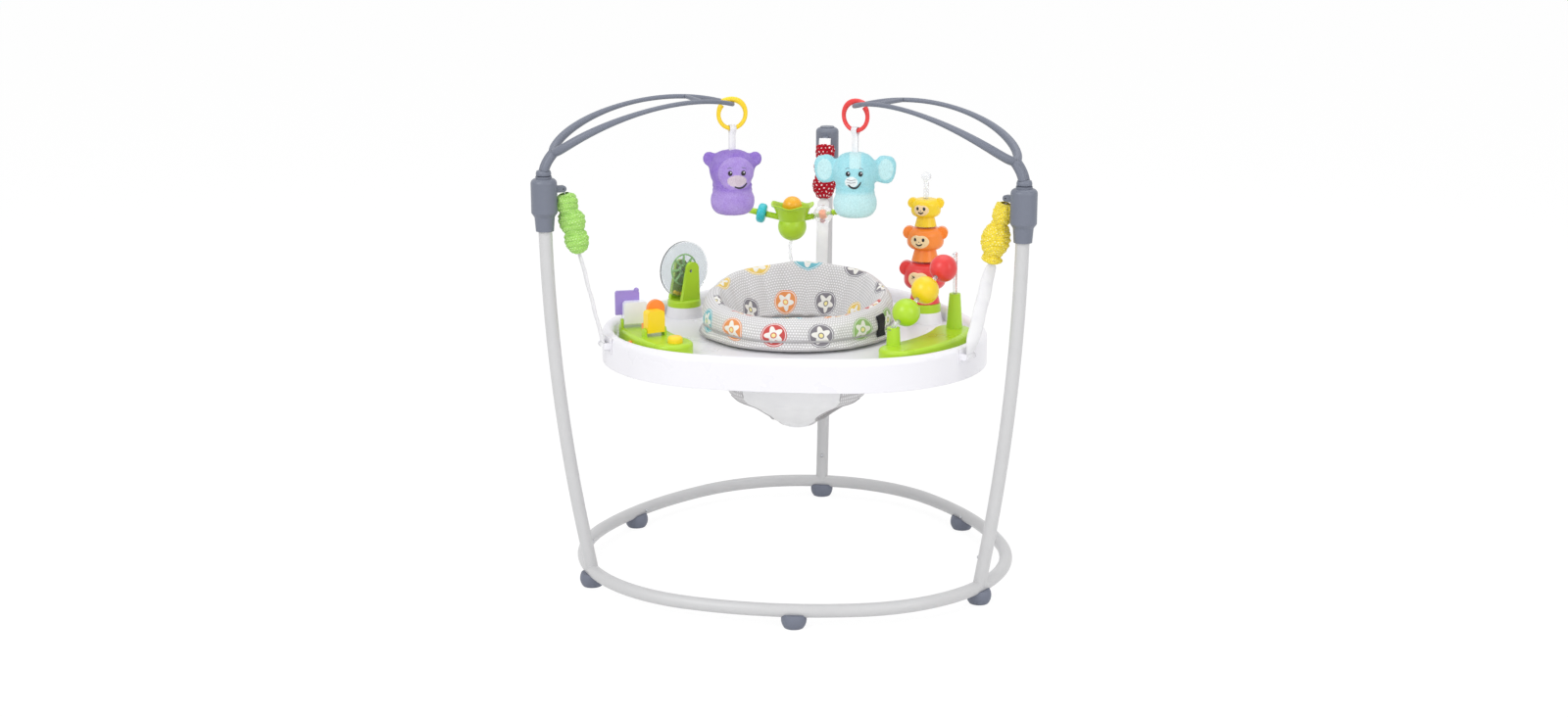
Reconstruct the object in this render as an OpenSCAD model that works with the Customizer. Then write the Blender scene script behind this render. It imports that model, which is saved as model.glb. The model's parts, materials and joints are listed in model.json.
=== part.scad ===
// Baby activity jumper: a tubular stand on three legs carries a toy tray that bounces on
// three sprung straps, with a fabric seat that swivels in the tray.
// Millimetres. +Z is up, the floor is z = 0 and +Y points to the back leg. The origin is under
// the middle of the outside box.

/* [Stand] */
// Outside diameter of the steel tube
tube_d = 25; // [23:0.5:27]
// Wall of the steel tube
tube_wall = 1.5; // [1.2:0.1:2]
// From the stand's axis to the middle of a side of the base ring
base_side = 388; // [375:1:400]
// Radius of the gently bowed sides of the base ring
base_bow_r = 680; // [640:5:720]
// Bend radius at the corners of the base ring
base_bend_r = 330; // [310:5:345]
// Height of the base ring's centre line
base_z = 31; // [30:0.5:33]
// Length of the welded leg stub from the ring's centre line
stub_len = 84; // [80:1:96]
// Length of a swaged tube end inside its neighbour
spigot_len = 40; // [36:1:44]
// From the stand's axis to the top of a leg
leg_top_r = 502; // [485:1:515]
// Height of the upper end of a leg tube
leg_top_z = 760; // [730:1:790]
// Greatest radius of a foot
foot_r = 23.5; // [22:0.5:25]
// Height of a foot
foot_h = 26; // [24:0.5:28]
// Diameter of a snap button
button_d = 7; // [6:0.5:8]

/* [Leg-top housings] */
// Radius of the housing's barrel
housing_r = 24; // [23:0.5:26]
// Height of the whole housing
housing_h = 101; // [95:1:110]
// How far the housing stands above the leg tube
housing_head = 35; // [33:1:40]
// Radius of the collar's lower edge
collar_r = 16.5; // [16:0.5:18]
// Height of the collar
collar_h = 26; // [22:1:30]

/* [Toy arms] */
// From the stand's axis to the arm's tip
arm_tip_r = 134; // [125:1:145]
// Height of the arm's tip
arm_tip_z = 909; // [895:1:920]
// Straight rise of the arm's curve out of the housing
arm_rise = 77; // [65:1:90]
// How far the arm's curve runs level before the tip
arm_tip_run = 143; // [120:1:160]
// How far the arm's curve drops to the tip
arm_tip_drop = 46; // [35:1:55]
// Greatest distance of a rail from the arm's middle plane
arm_half_gap = 60; // [50:1:66]
// Diameter of a rail
arm_rail_d = 8.5; // [7:0.5:9]
// Diameter of the stem above the housing
arm_stem_d = 26; // [23:0.5:27]
// Rail diameter where the two rails part
arm_fork_d = 12.5; // [10:0.5:12.5]
// Diameter of the plug inside the housing
arm_plug_d = 16; // [14:0.5:17]
// Length of the plug inside the housing
arm_plug_len = 26; // [22:1:28]

/* [Suspension] */
// Clear distance from the housing to the spring eye's centre
eye_reach = 11.5; // [11:0.5:13]
// Depth of the spring eye below the housing's top
eye_drop = 25; // [20:1:30]
// From the spring eye to the strap's upper loop
spring_reach = 118; // [110:1:126]
// Mean radius of the spring's coil
coil_r = 7; // [6.5:0.25:7.5]
// Diameter of the spring's wire
wire_d = 2; // [1.6:0.1:2.2]
// Turns of the spring
spring_turns = 10; // [8:1:12]
// Greatest radius of the gathered spring cover
cover_r = 24; // [21:0.5:24.5]
// Width of the strap's webbing
webbing_w = 25; // [20:1:30]
// Thickness of the strap's webbing
webbing_t = 1.8; // [1.4:0.1:2.2]

/* [Tray] */
// Height of the tray's lower edge
tray_z = 424; // [410:1:440]
// Height of the tray
tray_h = 61; // [58:1:66]
// From the tray's axis to the middle of a side
tray_side = 332; // [326:1:340]
// Radius of the bowed sides of the tray
tray_bow_r = 977; // [920:5:1040]
// Radius of the corners of the tray
tray_bend_r = 265; // [255:1:272]
// Wall of the tray
tray_wall = 3; // [2.5:0.25:3.5]
// Radius of the rolled rim
rim_r = 12; // [11:0.5:13]
// Depth of the deck below the rim
deck_drop = 25; // [22:1:28]
// Reach of the strap clip beyond the tray's corner
clip_reach = 10; // [9.5:0.5:12]
// Depth of the strap clip's bar below the rim
clip_drop = 15; // [12:1:20]

/* [Seat] */
// Radius of the seat's hole in the deck
seat_hole_r = 150; // [145:1:155]
// Outside radius of the seat pad
pad_r = 186; // [182:1:192]
// Width of the seat pad's roll
pad_w = 62; // [58:1:66]
// Height of the seat pad in front
pad_front_h = 60; // [52:1:68]
// Height of the seat pad at the back
pad_back_h = 104; // [90:1:112]
// Depth of the sling below the deck
sling_depth = 184; // [170:1:195]
// Radius of the sling's bottom
crotch_r = 42; // [38:1:46]
// Radius of a leg opening
leg_hole_r = 46; // [42:1:48]
// Thickness of the sling's fabric
sling_t = 3; // [2:0.5:4]

/* [Spinner toy] */
// Radius of the clear disc
disc_r = 56; // [52:1:58]
// Thickness of the clear disc at its middle
disc_t = 28; // [26:1:30]
// Radius of the spinner's base
spinner_base_r = 33; // [31:1:35]

/* [Stacking toy] */
// Radii of the lower, middle and upper figure
stack_r = [41, 36, 29]; // [26:1:43]
// Heights of the lower, middle and upper figure
stack_h = [84, 68, 56]; // [52:1:88]
// Radius of the clear rod
rod_r = 5; // [4:0.25:5.5]
// Free length of the rod above the figures
rod_free = 40; // [34:1:46]

/* [Bead-arc toy] */
// Radius of a ball
ball_r = 26; // [24:0.5:27]
// Radius of the clear tube
arc_tube_r = 4; // [3.5:0.25:4.5]

/* [Flower toy] */
// Height of the flower's pivot above the deck
flower_pivot_h = 12; // [11:0.5:14]
// Length of the stalk from its pivot into the cup
stalk_len = 131; // [120:1:140]
// Spread of the petals
petal_r = 43; // [40:1:46]
// Reach of a leaf arm
leaf_reach = 96; // [90:1:104]

/* [Flip toy] */
// Height of the toys' lime bases above the deck
toy_base_h = 28; // [26:0.5:28.5]
// Width of the wide flip plates
flip_w = 46; // [42:1:48]
// Height of the taller flip plate
flip_h = 52; // [46:1:56]

/* [Hanging toys] */
// Mean radius of a ring link
link_r = 27; // [26:0.5:29]
// Thickness of a ring link
link_d = 8; // [7:0.5:9]
// Length of tape between link and toy
tape_len = 40; // [34:1:48]
// Width of the head of a stuffed toy
plush_w = 88; // [80:1:92]
// Height of a stuffed toy
plush_h = 124; // [116:1:130]

/* [Hidden] */
$fn = 64;

// Colours
paint = "#d2d1cf";
slate = "#737887";
steel = "#a8abb0";
white = "#f3f2f7";
lime = "#a5d723";
yellow = "#fad71e";
orange = "#ff8c32";
red = "#e63c46";
purple = "#9673d7";
teal = "#32c3cd";
aqua = "#a5e1e8";
green = "#a5e16e";
grey = "#c8c6c6";
clear = [0.92, 0.95, 0.96, 0.35];

// Legs stand at the corners of the base ring, one of them at the back
left = -150;
right = -30;
back = 90;
corners = [left, right, back];
// Angle from a corner to the middle of the next side
half_turn = 60;

// Clearances: a push fit, a running fit, parts that turn freely and fabric beside its carrier
push_fit = 0.15;
run_fit = 0.08;
free_gap = 0.4;
soft_gap = 0.3;
// Extra length of every cut
over = 2;
// A hair's step where two bends of one piece meet, and their lap
seam = 0.04;
base_seam = 0.3;
tube_seam = 0.2;
lap = 1;
// Points along each arc of the deck's edge, which lies inside the rim
outline_steps = 16;

// Rounded triangles with bowed sides: place of a corner's centre and half angle of a side
function corner_at(side, bow, bend) =
    let (e = bow - side, d = bow - bend) (sqrt(4 * d * d - 3 * e * e) - e) / 2;
function bow_half(side, bow, bend) =
    let (c = corner_at(side, bow, bend), e = bow - side)
    atan2(c * sin(half_turn), c * cos(half_turn) + e);
function arc_angle(length, radius) = length / radius * 180 / PI;
function triangle_points(side, bow, bend) =
    let (co = corner_at(side, bow, bend), half = bow_half(side, bow, bend), turn = half_turn - half)
    [for (a = corners) each concat(
        [for (i = [0 : outline_steps]) let (t = a - turn + 2 * turn * i / outline_steps)
            [co * cos(a) + bend * cos(t), co * sin(a) + bend * sin(t)]],
        [for (i = [1 : outline_steps - 1])
            let (m = a + half_turn, t = m - half + 2 * half * i / outline_steps)
            [(side - bow) * cos(m) + bow * cos(t), (side - bow) * sin(m) + bow * sin(t)]])];
function polar(r, a, z) = [r * cos(a), r * sin(a), z];

// Base ring and tube joints
tube_bore = tube_d - 2 * tube_wall;
spigot_d = tube_bore - 2 * push_fit;
spigot_bore = spigot_d - 2 * tube_wall;
swage_len = 12;
base_corner = corner_at(base_side, base_bow_r, base_bend_r) + base_bend_r;
base_half = bow_half(base_side, base_bow_r, base_bend_r);
spigot_angle = arc_angle(spigot_len, base_bow_r);
swage_angle = arc_angle(swage_len, base_bow_r);
lap_angle = arc_angle(lap, base_bow_r);
stub_floor = 32;

// Legs: a straight stub, then one long bend that ends upright
leg_rise = leg_top_z - base_z;
leg_lean = 2 * atan((leg_top_r - base_corner) / (leg_rise + stub_len));
leg_bend_r = (leg_rise - stub_len * cos(leg_lean)) / sin(leg_lean);
leg_swage_angle = arc_angle(swage_len, leg_bend_r);

// Snap buttons: a flange inside the spigot, a shank through both walls and a domed tip
button_hole_d = button_d + 2 * run_fit;
button_flange_d = 10;
button_flange_t = 1.5;
button_flange_at = sqrt(pow(spigot_bore / 2, 2) - pow(button_flange_d / 2, 2)) - soft_gap;
leg_button_at = 56;
ring_button_angle = arc_angle(24, base_bow_r);

// Feet: truncated balls saddled to the ring, one under each leg and one past each side's seam
foot_belly_z = 15;
side_foot_angle = arc_angle(42, base_bow_r);
foot_clear = 0.1;

// The outside box, front to back, sets the origin
front_y = base_bow_r * cos(side_foot_angle) - (base_bow_r - base_side) + foot_r;
back_y = leg_top_r + housing_r;
origin_shift = (front_y - back_y) / 2;

// Housings
housing_top = leg_top_z + housing_head;
housing_z = housing_top - housing_h;
housing_fit = 0.9;
collar_flare = 2;
shoulder_h = 8;
shoulder_r = 9;
neck_r = 15;
neck_h = 4;
cap_h = 2.5;
socket_d = arm_plug_d + 2 * push_fit;

// Spring eye on the housing, and the straight line from there to the tray's clip
eye_r = leg_top_r - housing_r - eye_reach;
eye_z = housing_top - eye_drop;
eye_lug_r = 6;
lug_w = 10;
eye_hole_r = wire_d / 2 + free_gap;
tray_corner = corner_at(tray_side, tray_bow_r, tray_bend_r) + tray_bend_r;
rim_z = tray_z + tray_h;
clip_r = tray_corner + clip_reach;
clip_z = rim_z - clip_drop;
clip_bar_d = 6;
clip_arm_t = 4;
clip_arm_h = 12;
clip_plate_t = 3;
clip_plate_h = 30;
clip_w = webbing_w + 2 * (clip_arm_t + free_gap);
strap_tilt = atan2(eye_r - clip_r, eye_z - clip_z);
strap_run = norm([eye_r - clip_r, eye_z - clip_z]);
strap_tab_len = 12;

// Springs and their gathered covers
hook_rise = eye_lug_r + 6;
coil_steps = 8;
wire_sides = 5;
hook_bend = 1.4;
cover_start = 10;
cover_end = spring_reach + 6;
cover_bore_r = coil_r + wire_d / 2 + free_gap;
cover_neck_r = cover_bore_r + 2;
cover_rings = 22;
cover_sides = 18;
cover_folds = 6;
cover_fold_share = 0.12;
cover_line = [[0, 0.56], [0.05, 0.68], [0.14, 0.74], [0.26, 0.74], [0.37, 0.66], [0.45, 0.72], [0.55, 0.9],
    [0.67, 1], [0.78, 0.98], [0.87, 0.86], [0.94, 0.66], [1, 0.56]];
cover_twist = 300;

// Tray
deck_z = rim_z - deck_drop;
deck_t = 3;
deck_inset = 2 * rim_r - tray_wall / 2;
skirt_gap = 14;
pedestal_h = 22;
pedestal_foot_r = 37;

// Seat
seat_lift = 0.4;
seat_wall = 3;
seat_neck_r = seat_hole_r - free_gap - seat_wall;
seat_flange_r = seat_hole_r + 18;
seat_lip_r = seat_hole_r + 6;
seat_flange_z = deck_z + seat_lift;
seat_lip_z = deck_z - deck_t - seat_lift - seat_wall;
pad_z = seat_flange_z + seat_wall + soft_gap;
pad_steps = 44;
// Section of the pad in front, a roll, and behind, a wall: place across from its outer edge, and
// height, as shares
pad_section_shares = [
    [0.46, 1.00], [0.27, 0.96], [0.11, 0.84], [0.01, 0.64], [0.00, 0.46], [0.06, 0.33],
    [0.01, 0.20], [0.03, 0.00], [0.93, 0.00], [1.00, 0.22], [0.99, 0.50], [0.88, 0.78],
    [0.68, 0.95]
];
pad_back_shares = [
    [0.22, 1.00], [0.10, 0.97], [0.03, 0.86], [0.00, 0.64], [0.00, 0.46], [0.05, 0.33],
    [0.01, 0.20], [0.03, 0.00], [0.93, 0.00], [0.98, 0.16], [0.80, 0.45], [0.55, 0.76],
    [0.36, 0.96]
];
pad_wing_power = 1.6;
sling_top_r = seat_neck_r - soft_gap;
sling_top_z = deck_z - 2;
// Sling's outline: place between its bottom and top radius, and depth, as shares
sling_shares = [[1, 0], [0.97, 0.35], [0.88, 0.6], [0.6, 0.72], [0.3, 0.83], [0, 0.93]];
sling_heel_shares = [0.86, 0.16, 0.5];
leg_hole_at = 92;
leg_hole_drop = 142;
leg_hole_lean = 40;
leg_hole_reach = 40;
leg_hole_turn = 24;

// Toys that stand on pedestals
spinner_r = 268;
spinner_a = 155;
spinner_turn = -18;
stack_at_r = 268;
stack_a = 28;
pedestal_z = deck_z + pedestal_h;

// Spinner
spinner_base_h = 14;
disc_z = pedestal_z + spinner_base_h + disc_r + 3;
disc_wall = 2;
disc_rim_w = 8;
axle_r = 3;
blade_t = 8;
blade_w = 44;
blade_top_r = 14;
blade_lean = -6;
blade_up = 3;
blade_gap = 1.2;
blade_at = disc_t / 2 + blade_gap;
bead_r = 4;
bead_count = 7;
disc_bulge = (disc_t - disc_rim_w) / 2;
lens_r = (disc_r * disc_r + disc_bulge * disc_bulge) / (2 * disc_bulge);
vent_r = 1.5;
bead_rest = 0.05;
bead_ring_r = min(disc_r - disc_wall - bead_r, sqrt(pow(lens_r - disc_wall - bead_r, 2)
    - pow(lens_r - disc_t / 2, 2))) - bead_rest;
bead_step = 2 * asin((bead_r + bead_rest) / bead_ring_r);

// Stacking figures
stack_base_r = 32;
stack_base_h = 17;
stack_z0 = pedestal_z + stack_base_h + free_gap;
stack_z1 = stack_z0 + stack_h[0] + free_gap;
stack_z2 = stack_z1 + stack_h[1] + free_gap;
rod_top = stack_z2 + stack_h[2] + rod_free;
rod_ball_r = 10;
rod_seat = 6;
figure_round_share = 0.42;
skirt_h_share = 0.37;
skirt_foot_share = 0.74;
skirt_waist_share = 0.56;
head_z_share = 0.33;
head_h_share = 0.63;
ear_r_share = 0.34;
ear_out_share = 0.88;
ear_up_share = 0.81;
ear_t_share = 0.42;

// Bead arc: a slanting run of tube from the low post to the top, then down into the tall post
toy_top_z = deck_z + toy_base_h;
toy_base_inset = 78;
arc_base_r = tray_corner - toy_base_inset;
arc_base_w = 72;
arc_base_from = -46;
arc_base_to = -9;
toy_round = 7;
toy_wall = 4;
arc_low = polar(283, -44.5, toy_top_z + 32);
arc_high = polar(308, -8, toy_top_z + 142);
arc_dir = arc_high - arc_low;
arc_len = norm(arc_dir);
tall_post_h = 66;
low_post_foot_r = 13.5;
low_post_top_r = 11.5;
tall_post_foot_r = 16;
tall_post_top_r = 10.5;
post_socket = 12;
socket_turn = 75;
ball_shares = [0.2, 0.5, 0.8];

// Flower
flower_r = 264.7;
flower_a = 99.6;
pivot_ball_r = 8;
pivot_boss_r = 15;
pivot_mouth_r = 7.4;
pivot_z = deck_z + flower_pivot_h;
stalk_r = 4;
stalk_sunk = 12;
cup_r = 29;
cup_z = pivot_z + stalk_len - stalk_sunk + cup_r;
funnel_z = cup_z + 3;
funnel_foot_r = 17;
funnel_h = 44;
funnel_wall = 4;
petal_count = 5;
petal_notch_r = 11;
petal_notch_up = 4;
dome_r = 20;
dome_fit = 0.3;
dome_z = cup_z + 42;
core_r = 13;
leaf_z = cup_z + 13;
leaf_rod_r = 4;
leaf_tilt = 12;
leaf_stop_r = 6;
leaf_stop_t = 3;
leaf_blade_r = 9;
leaf_blade_t = 5;
leaf_bead_at = 64;
teal_r = 20;
teal_l = 18;
teal_round = 7;
clear_r = 19;

// Flip toy
flip_base_r = tray_corner - toy_base_inset;
flip_base_w = 80;
flip_base_from = -165;
flip_base_to = -132.5;
hinge_up = 10;
hinge_z = toy_top_z + hinge_up;
hinge_pin_r = 3;
hinge_ear_t = 5;
hinge_ear_r = 6.5;
flip_front_t = 20;
flip_round = 7;
flip_back_t = 8;
flip_sole = 2.5;
plate_step = 14;
plate_shift = 13;
plate_rise = 8;
arch_shift = -10;
arch_rise = 6;
flip_left_r = 318;
flip_left_a = -159;
flip_right_r = 309;
flip_right_a = -143;
flip_front_share = 0.8;
flip_small_share = 0.76;
flip_knob_r = 5;
flip_button_r = 14;
flip_button_h = 20;
flip_button_up = 12;
flip_button_round = 6;
flip_button_pocket = 13;
flip_button_wall = 2.5;
flip_button_a = -130.5;
knob_a = -147;
knob_r = 8;
knob_t = 5;
knob_stem_r = 3;
knob_stem_l = 12;
knob_z = deck_z + 10;

// Arms: a cubic curve in the leg's own plane, and a loop of two rails that part and meet again
arm_split = 0.18;
stem_gap = 1.6;
arm_taper = 0.5;
arm_gap_power = 0.54;
arm_sides = 10;
arm_steps = 20;
stem_steps = 6;
cross_share = 0.8;
arm_curve = [
    [leg_top_r, housing_top + stem_gap], [leg_top_r, housing_top + arm_rise],
    [arm_tip_r + arm_tip_run, arm_tip_z + arm_tip_drop], [arm_tip_r, arm_tip_z]
];
function cubic(p, t) = pow(1 - t, 3) * p[0] + 3 * pow(1 - t, 2) * t * p[1]
    + 3 * (1 - t) * t * t * p[2] + pow(t, 3) * p[3];
function rail_half(s) = arm_half_gap * pow(max(sin(180 * s), 0), arm_gap_power);
function rail_point(s, side) =
    let (p = cubic(arm_curve, arm_split + (1 - arm_split) * s)) [p[0], side * rail_half(s), p[1]];
function ease(u) = (1 - cos(180 * u)) / 2;
function rail_r(s) = (arm_fork_d + (arm_rail_d - arm_fork_d) * ease(min(s / arm_taper, 1))) / 2;

// Hanging toys
link_hang = link_r - link_d / 2 - arm_rail_d / 2 - soft_gap;
link_z = arm_tip_z - link_hang;
tape_z = link_z - link_r;
tape_w = 14;
tape_t = 1.6;
tape_loop_r = link_d / 2 + 1.6;
plush_top = tape_z - tape_len;
plush_depth_share = 0.74;
plush_head_share = 0.62;
plush_body_share = 0.52;
plush_body_w_share = 0.87;
plush_sides = 16;
plush_rings = 8;
tape_sunk = 4;
bear_ear_share = 0.33;
bear_ear_out_share = 0.47;
bear_ear_down_share = 0.2;
elephant_ear_w_share = 0.48;
elephant_ear_h_share = 0.64;
elephant_ear_t_share = 0.22;
elephant_ear_out_share = 0.6;
elephant_ear_down_share = 0.38;

// Closed meshes through stacked rings of points
function unit(v) = v / norm(v);
function quad(a, b, c, d) = [[a, c, b], [a, d, c]];
function tangent(path, i) =
    let (k = min(i, len(path) - 1)) unit(path[min(k + 1, len(path) - 1)] - path[max(k - 1, 0)]);
function carried(u, along) = unit(u - (u * along) * along);
function ring_at(centre, along, u, r, n) =
    let (v = cross(along, u))
    [for (k = [0 : n - 1]) centre + r * (cos(360 * k / n) * u + sin(360 * k / n) * v)];

module loft(rings) {
    n = len(rings[0]);
    m = len(rings);
    top = (m - 1) * n;
    sides = [for (i = [0 : m - 2], k = [0 : n - 1])
        each quad(i * n + k, i * n + (k + 1) % n, (i + 1) * n + (k + 1) % n, (i + 1) * n + k)];
    floor = [for (k = [1 : n - 2]) [0, k, k + 1]];
    roof = [for (k = [1 : n - 2]) [top, top + k + 1, top + k]];
    polyhedron([for (ring = rings) each ring], concat(sides, floor, roof));
}

module loft_loop(rings) {
    n = len(rings[0]);
    m = len(rings);
    faces = [for (i = [0 : m - 1], k = [0 : n - 1])
        each quad(i * n + k, i * n + (k + 1) % n,
                  ((i + 1) % m) * n + (k + 1) % n, ((i + 1) % m) * n + k)];
    polyhedron([for (ring = rings) each ring], faces);
}

// A round section along a path; r is one radius or a list with one for each point
module swept(path, r, side, n) {
    normals = [for (i = 0, u = carried(side, tangent(path, 0)); i < len(path);
                    i = i + 1, u = carried(u, tangent(path, i))) u];
    loft([for (i = [0 : len(path) - 1])
        ring_at(path[i], tangent(path, i), normals[i], is_list(r) ? r[i] : r, n)]);
}

// A plump rounded form: width, depth and height, fuller than an ellipsoid
module plump(w, d, h, power = 0.82) {
    function lat(i) = -84 + 168 * i / (plush_rings - 1);
    loft([for (i = [0 : plush_rings - 1])
        let (c = pow(cos(lat(i)), power), z = h / 2 * sin(lat(i)) / sin(84))
        [for (k = [0 : plush_sides - 1])
            let (a = 360 * k / plush_sides) [w / 2 * c * cos(a), d / 2 * c * sin(a), z]]]);
}

// Half section of a round block with rounded upper edge, and with both edges rounded
module rounded_top(r, h, round) {
    square([r - round, h]);
    square([r, h - round]);
    translate([r - round, h - round]) circle(r = round);
}

module rounded_both(r, h, round) {
    square([r - round, h]);
    translate([0, round]) square([r, h - 2 * round]);
    for (z = [round, h - round]) translate([r - round, z]) circle(r = round);
}

// Everything is drawn about the stand's axis and moved so that the box is centred
module placed() translate([0, origin_shift, 0]) children();
module at(r, a, z = 0) rotate(a) translate([r, 0, z]) children();
module hung(a) rotate(a) translate([eye_r, 0, eye_z]) rotate([0, strap_tilt, 0]) children();

// Arcs of a rounded triangle. The child is the section, x outwards from the path
module corner_arc(side, bow, bend) {
    half = half_turn - bow_half(side, bow, bend);
    translate([corner_at(side, bow, bend), 0, 0]) rotate(-half)
        rotate_extrude(angle = 2 * half) translate([bend, 0]) children();
}

module bow_arc(side, bow, from, to)
    translate([side - bow, 0, 0]) rotate(from)
        rotate_extrude(angle = to - from) translate([bow, 0]) children();

// Stand
module base_arc(from, to) bow_arc(base_side, base_bow_r, from, to) children();

module pipe_section(od, id) difference() {
    circle(d = od);
    circle(d = id);
}

module on_stub() translate([base_corner, 0, 0]) rotate([0, leg_lean, 0]) children();
module stub_button() translate([0, 0, leg_button_at]) rotate([0, -90, 0]) children();
module ring_button_place() translate([base_side - base_bow_r, 0, 0]) rotate(ring_button_angle)
    translate([base_bow_r, 0, 0]) rotate([0, -90, 0]) children();

module base_tube(a) color(paint) rotate(a) translate([0, 0, base_z]) difference() {
    union() {
        corner_arc(base_side, base_bow_r, base_bend_r) pipe_section(tube_d, tube_bore);
        rotate(-half_turn) base_arc(0, base_half + lap_angle)
            pipe_section(tube_d - tube_seam, tube_bore + tube_seam);
        rotate(half_turn) {
            base_arc(-base_half - lap_angle, -swage_angle)
                pipe_section(tube_d - tube_seam, tube_bore + tube_seam);
            base_arc(-swage_angle - lap_angle, 0) pipe_section(tube_d - 2 * tube_seam, spigot_bore);
            base_arc(-lap_angle, spigot_angle) pipe_section(spigot_d, spigot_bore + tube_seam);
        }
        difference() {
            on_stub() cylinder(d = tube_d, h = stub_len);
            corner_arc(base_side, base_bow_r, base_bend_r) circle(d = tube_d - tube_wall);
            on_stub() translate([0, 0, stub_floor]) cylinder(d = tube_bore, h = stub_len);
        }
    }
    on_stub() stub_button() cylinder(d = button_hole_d, h = tube_d);
    for (t = [-half_turn, half_turn]) rotate(t) ring_button_place()
        cylinder(d = button_hole_d, h = tube_d);
}

module leg_bend(d, from) translate([leg_top_r - leg_bend_r, 0, leg_top_z]) rotate([90, 0, 0])
    rotate(from - leg_lean) rotate_extrude(angle = leg_lean - from)
        translate([leg_bend_r, 0]) circle(d = d);

module leg_tube(a) color(paint) rotate(a) difference() {
    union() {
        leg_bend(tube_d, 0);
        translate([0, 0, base_z]) on_stub() translate([0, 0, stub_len - spigot_len])
            cylinder(d = spigot_d, h = spigot_len);
    }
    leg_bend(tube_bore, leg_swage_angle);
    translate([0, 0, base_z]) on_stub() translate([0, 0, stub_len - spigot_len - over])
        cylinder(d = spigot_bore, h = spigot_len + swage_len + over);
    translate([0, 0, base_z]) on_stub() stub_button() cylinder(d = button_hole_d, h = tube_d);
}

module foot() intersection() {
    translate([0, 0, foot_belly_z]) sphere(r = foot_r);
    cylinder(r = foot_r + over, h = foot_h);
}

module base_feet() color(slate) for (a = corners) {
    rotate(a) difference() {
        translate([base_corner, 0, 0]) foot();
        translate([0, 0, base_z]) corner_arc(base_side, base_bow_r, base_bend_r)
            circle(d = tube_d + 2 * foot_clear);
    }
    rotate(a + half_turn) difference() {
        translate([base_side - base_bow_r, 0, 0]) rotate(side_foot_angle)
            translate([base_bow_r, 0, 0]) foot();
        translate([0, 0, base_z]) base_arc(0, 2 * side_foot_angle)
            circle(d = tube_d + 2 * foot_clear);
    }
}

module snap_button() {
    translate([0, 0, button_flange_at - button_flange_t])
        cylinder(d = button_flange_d, h = button_flange_t);
    translate([0, 0, button_flange_at]) cylinder(d = button_d, h = tube_d / 2 - button_flange_at);
    translate([0, 0, tube_d / 2]) sphere(d = button_d);
}

module leg_button(a) color(steel)
    rotate(a) translate([0, 0, base_z]) on_stub() stub_button() snap_button();

module ring_button(a) color(steel)
    rotate(a + half_turn) translate([0, 0, base_z]) ring_button_place() snap_button();

// Housings
module housing(a) color(slate) rotate(a) difference() {
    union() {
        translate([leg_top_r, 0, housing_z]) {
            cylinder(r1 = collar_r, r2 = collar_r + collar_flare, h = collar_h);
            translate([0, 0, collar_h])
                cylinder(r1 = collar_r + collar_flare, r2 = housing_r, h = shoulder_h);
            translate([0, 0, collar_h + shoulder_h]) rotate_extrude()
                rounded_top(housing_r, housing_h - collar_h - shoulder_h - neck_h, shoulder_r);
            if (a != back) translate([0, 0, housing_h - neck_h]) cylinder(r = neck_r, h = neck_h);
        }
        translate([eye_r, 0, eye_z]) rotate([90, 0, 0])
            cylinder(r = eye_lug_r, h = lug_w, center = true);
        translate([eye_r, -lug_w / 2, eye_z - eye_lug_r])
            cube([eye_reach + housing_r - socket_d / 2 - over, lug_w, 2 * eye_lug_r]);
    }
    translate([leg_top_r, 0, housing_z - over])
        cylinder(r = tube_d / 2 + housing_fit, h = leg_top_z - housing_z + over);
    translate([leg_top_r, 0, housing_top - arm_plug_len - push_fit])
        cylinder(d = socket_d, h = arm_plug_len + over);
    translate([eye_r, 0, eye_z]) rotate([90, 0, 0])
        cylinder(r = eye_hole_r, h = lug_w + over, center = true);
}

module arm_plug(h = arm_plug_len + 2 * stem_gap)
    translate([leg_top_r, 0, housing_top - arm_plug_len]) cylinder(d = arm_plug_d, h = h);

module housing_cap() color(slate) rotate(back) {
    arm_plug(arm_plug_len - neck_h + lap);
    translate([leg_top_r, 0, housing_top - neck_h]) rotate_extrude()
        rounded_top(neck_r, cap_h, cap_h / 2);
}

// Toy arm: plug, stem and a loop of two rails with a cross bar
module toy_arm(a) color(slate) rotate(a) {
    arm_plug();
    stem = [for (i = [0 : stem_steps]) let (p = cubic(arm_curve, arm_split * i / stem_steps))
        [p[0], 0, p[1]]];
    rail = [for (i = [0 : arm_steps]) ease(i / arm_steps)];
    out = [for (s = rail) rail_point(s, 1)];
    home = [for (i = [arm_steps - 1 : -1 : 0]) rail_point(rail[i], -1)];
    swept(stem, arm_stem_d / 2, [0, 1, 0], arm_sides + 2);
    thick = [for (i = [-arm_steps : arm_steps]) rail_r(rail[arm_steps - abs(i)])];
    swept(concat(out, home), thick, [0, 0, 1], arm_sides);
    cross = rail_point(cross_share, 1);
    translate([cross[0], 0, cross[2]]) rotate([90, 0, 0])
        cylinder(d = arm_rail_d, h = 2 * cross[1], center = true);
}

// Springs hang in the line of the strap, with a hook through the eye and one through the strap
hook = [[0, -coil_r, 0], [0, coil_r - 2 * hook_bend, 0], [0, coil_r - hook_bend / 2, -hook_bend / 2],
    [0, coil_r, -2 * hook_bend]];
coil_drop = spring_reach - 2 * hook_rise;
coil = [for (i = [0 : spring_turns * coil_steps])
    let (a = 90 + 360 * i / coil_steps)
    [coil_r * cos(a), coil_r * sin(a), -hook_rise - coil_drop * i / (spring_turns * coil_steps)]];
tail = [for (i = [len(hook) - 1 : -1 : 0]) [hook[i][0], hook[i][1], -spring_reach - hook[i][2]]];
spring_path = concat(hook, coil, tail);
spring_gap = min([for (i = [0 : len(coil) - 1 - coil_steps]) norm(coil[i + coil_steps] - coil[i])]) - wire_d;
echo(spring_gap = spring_gap);

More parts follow.
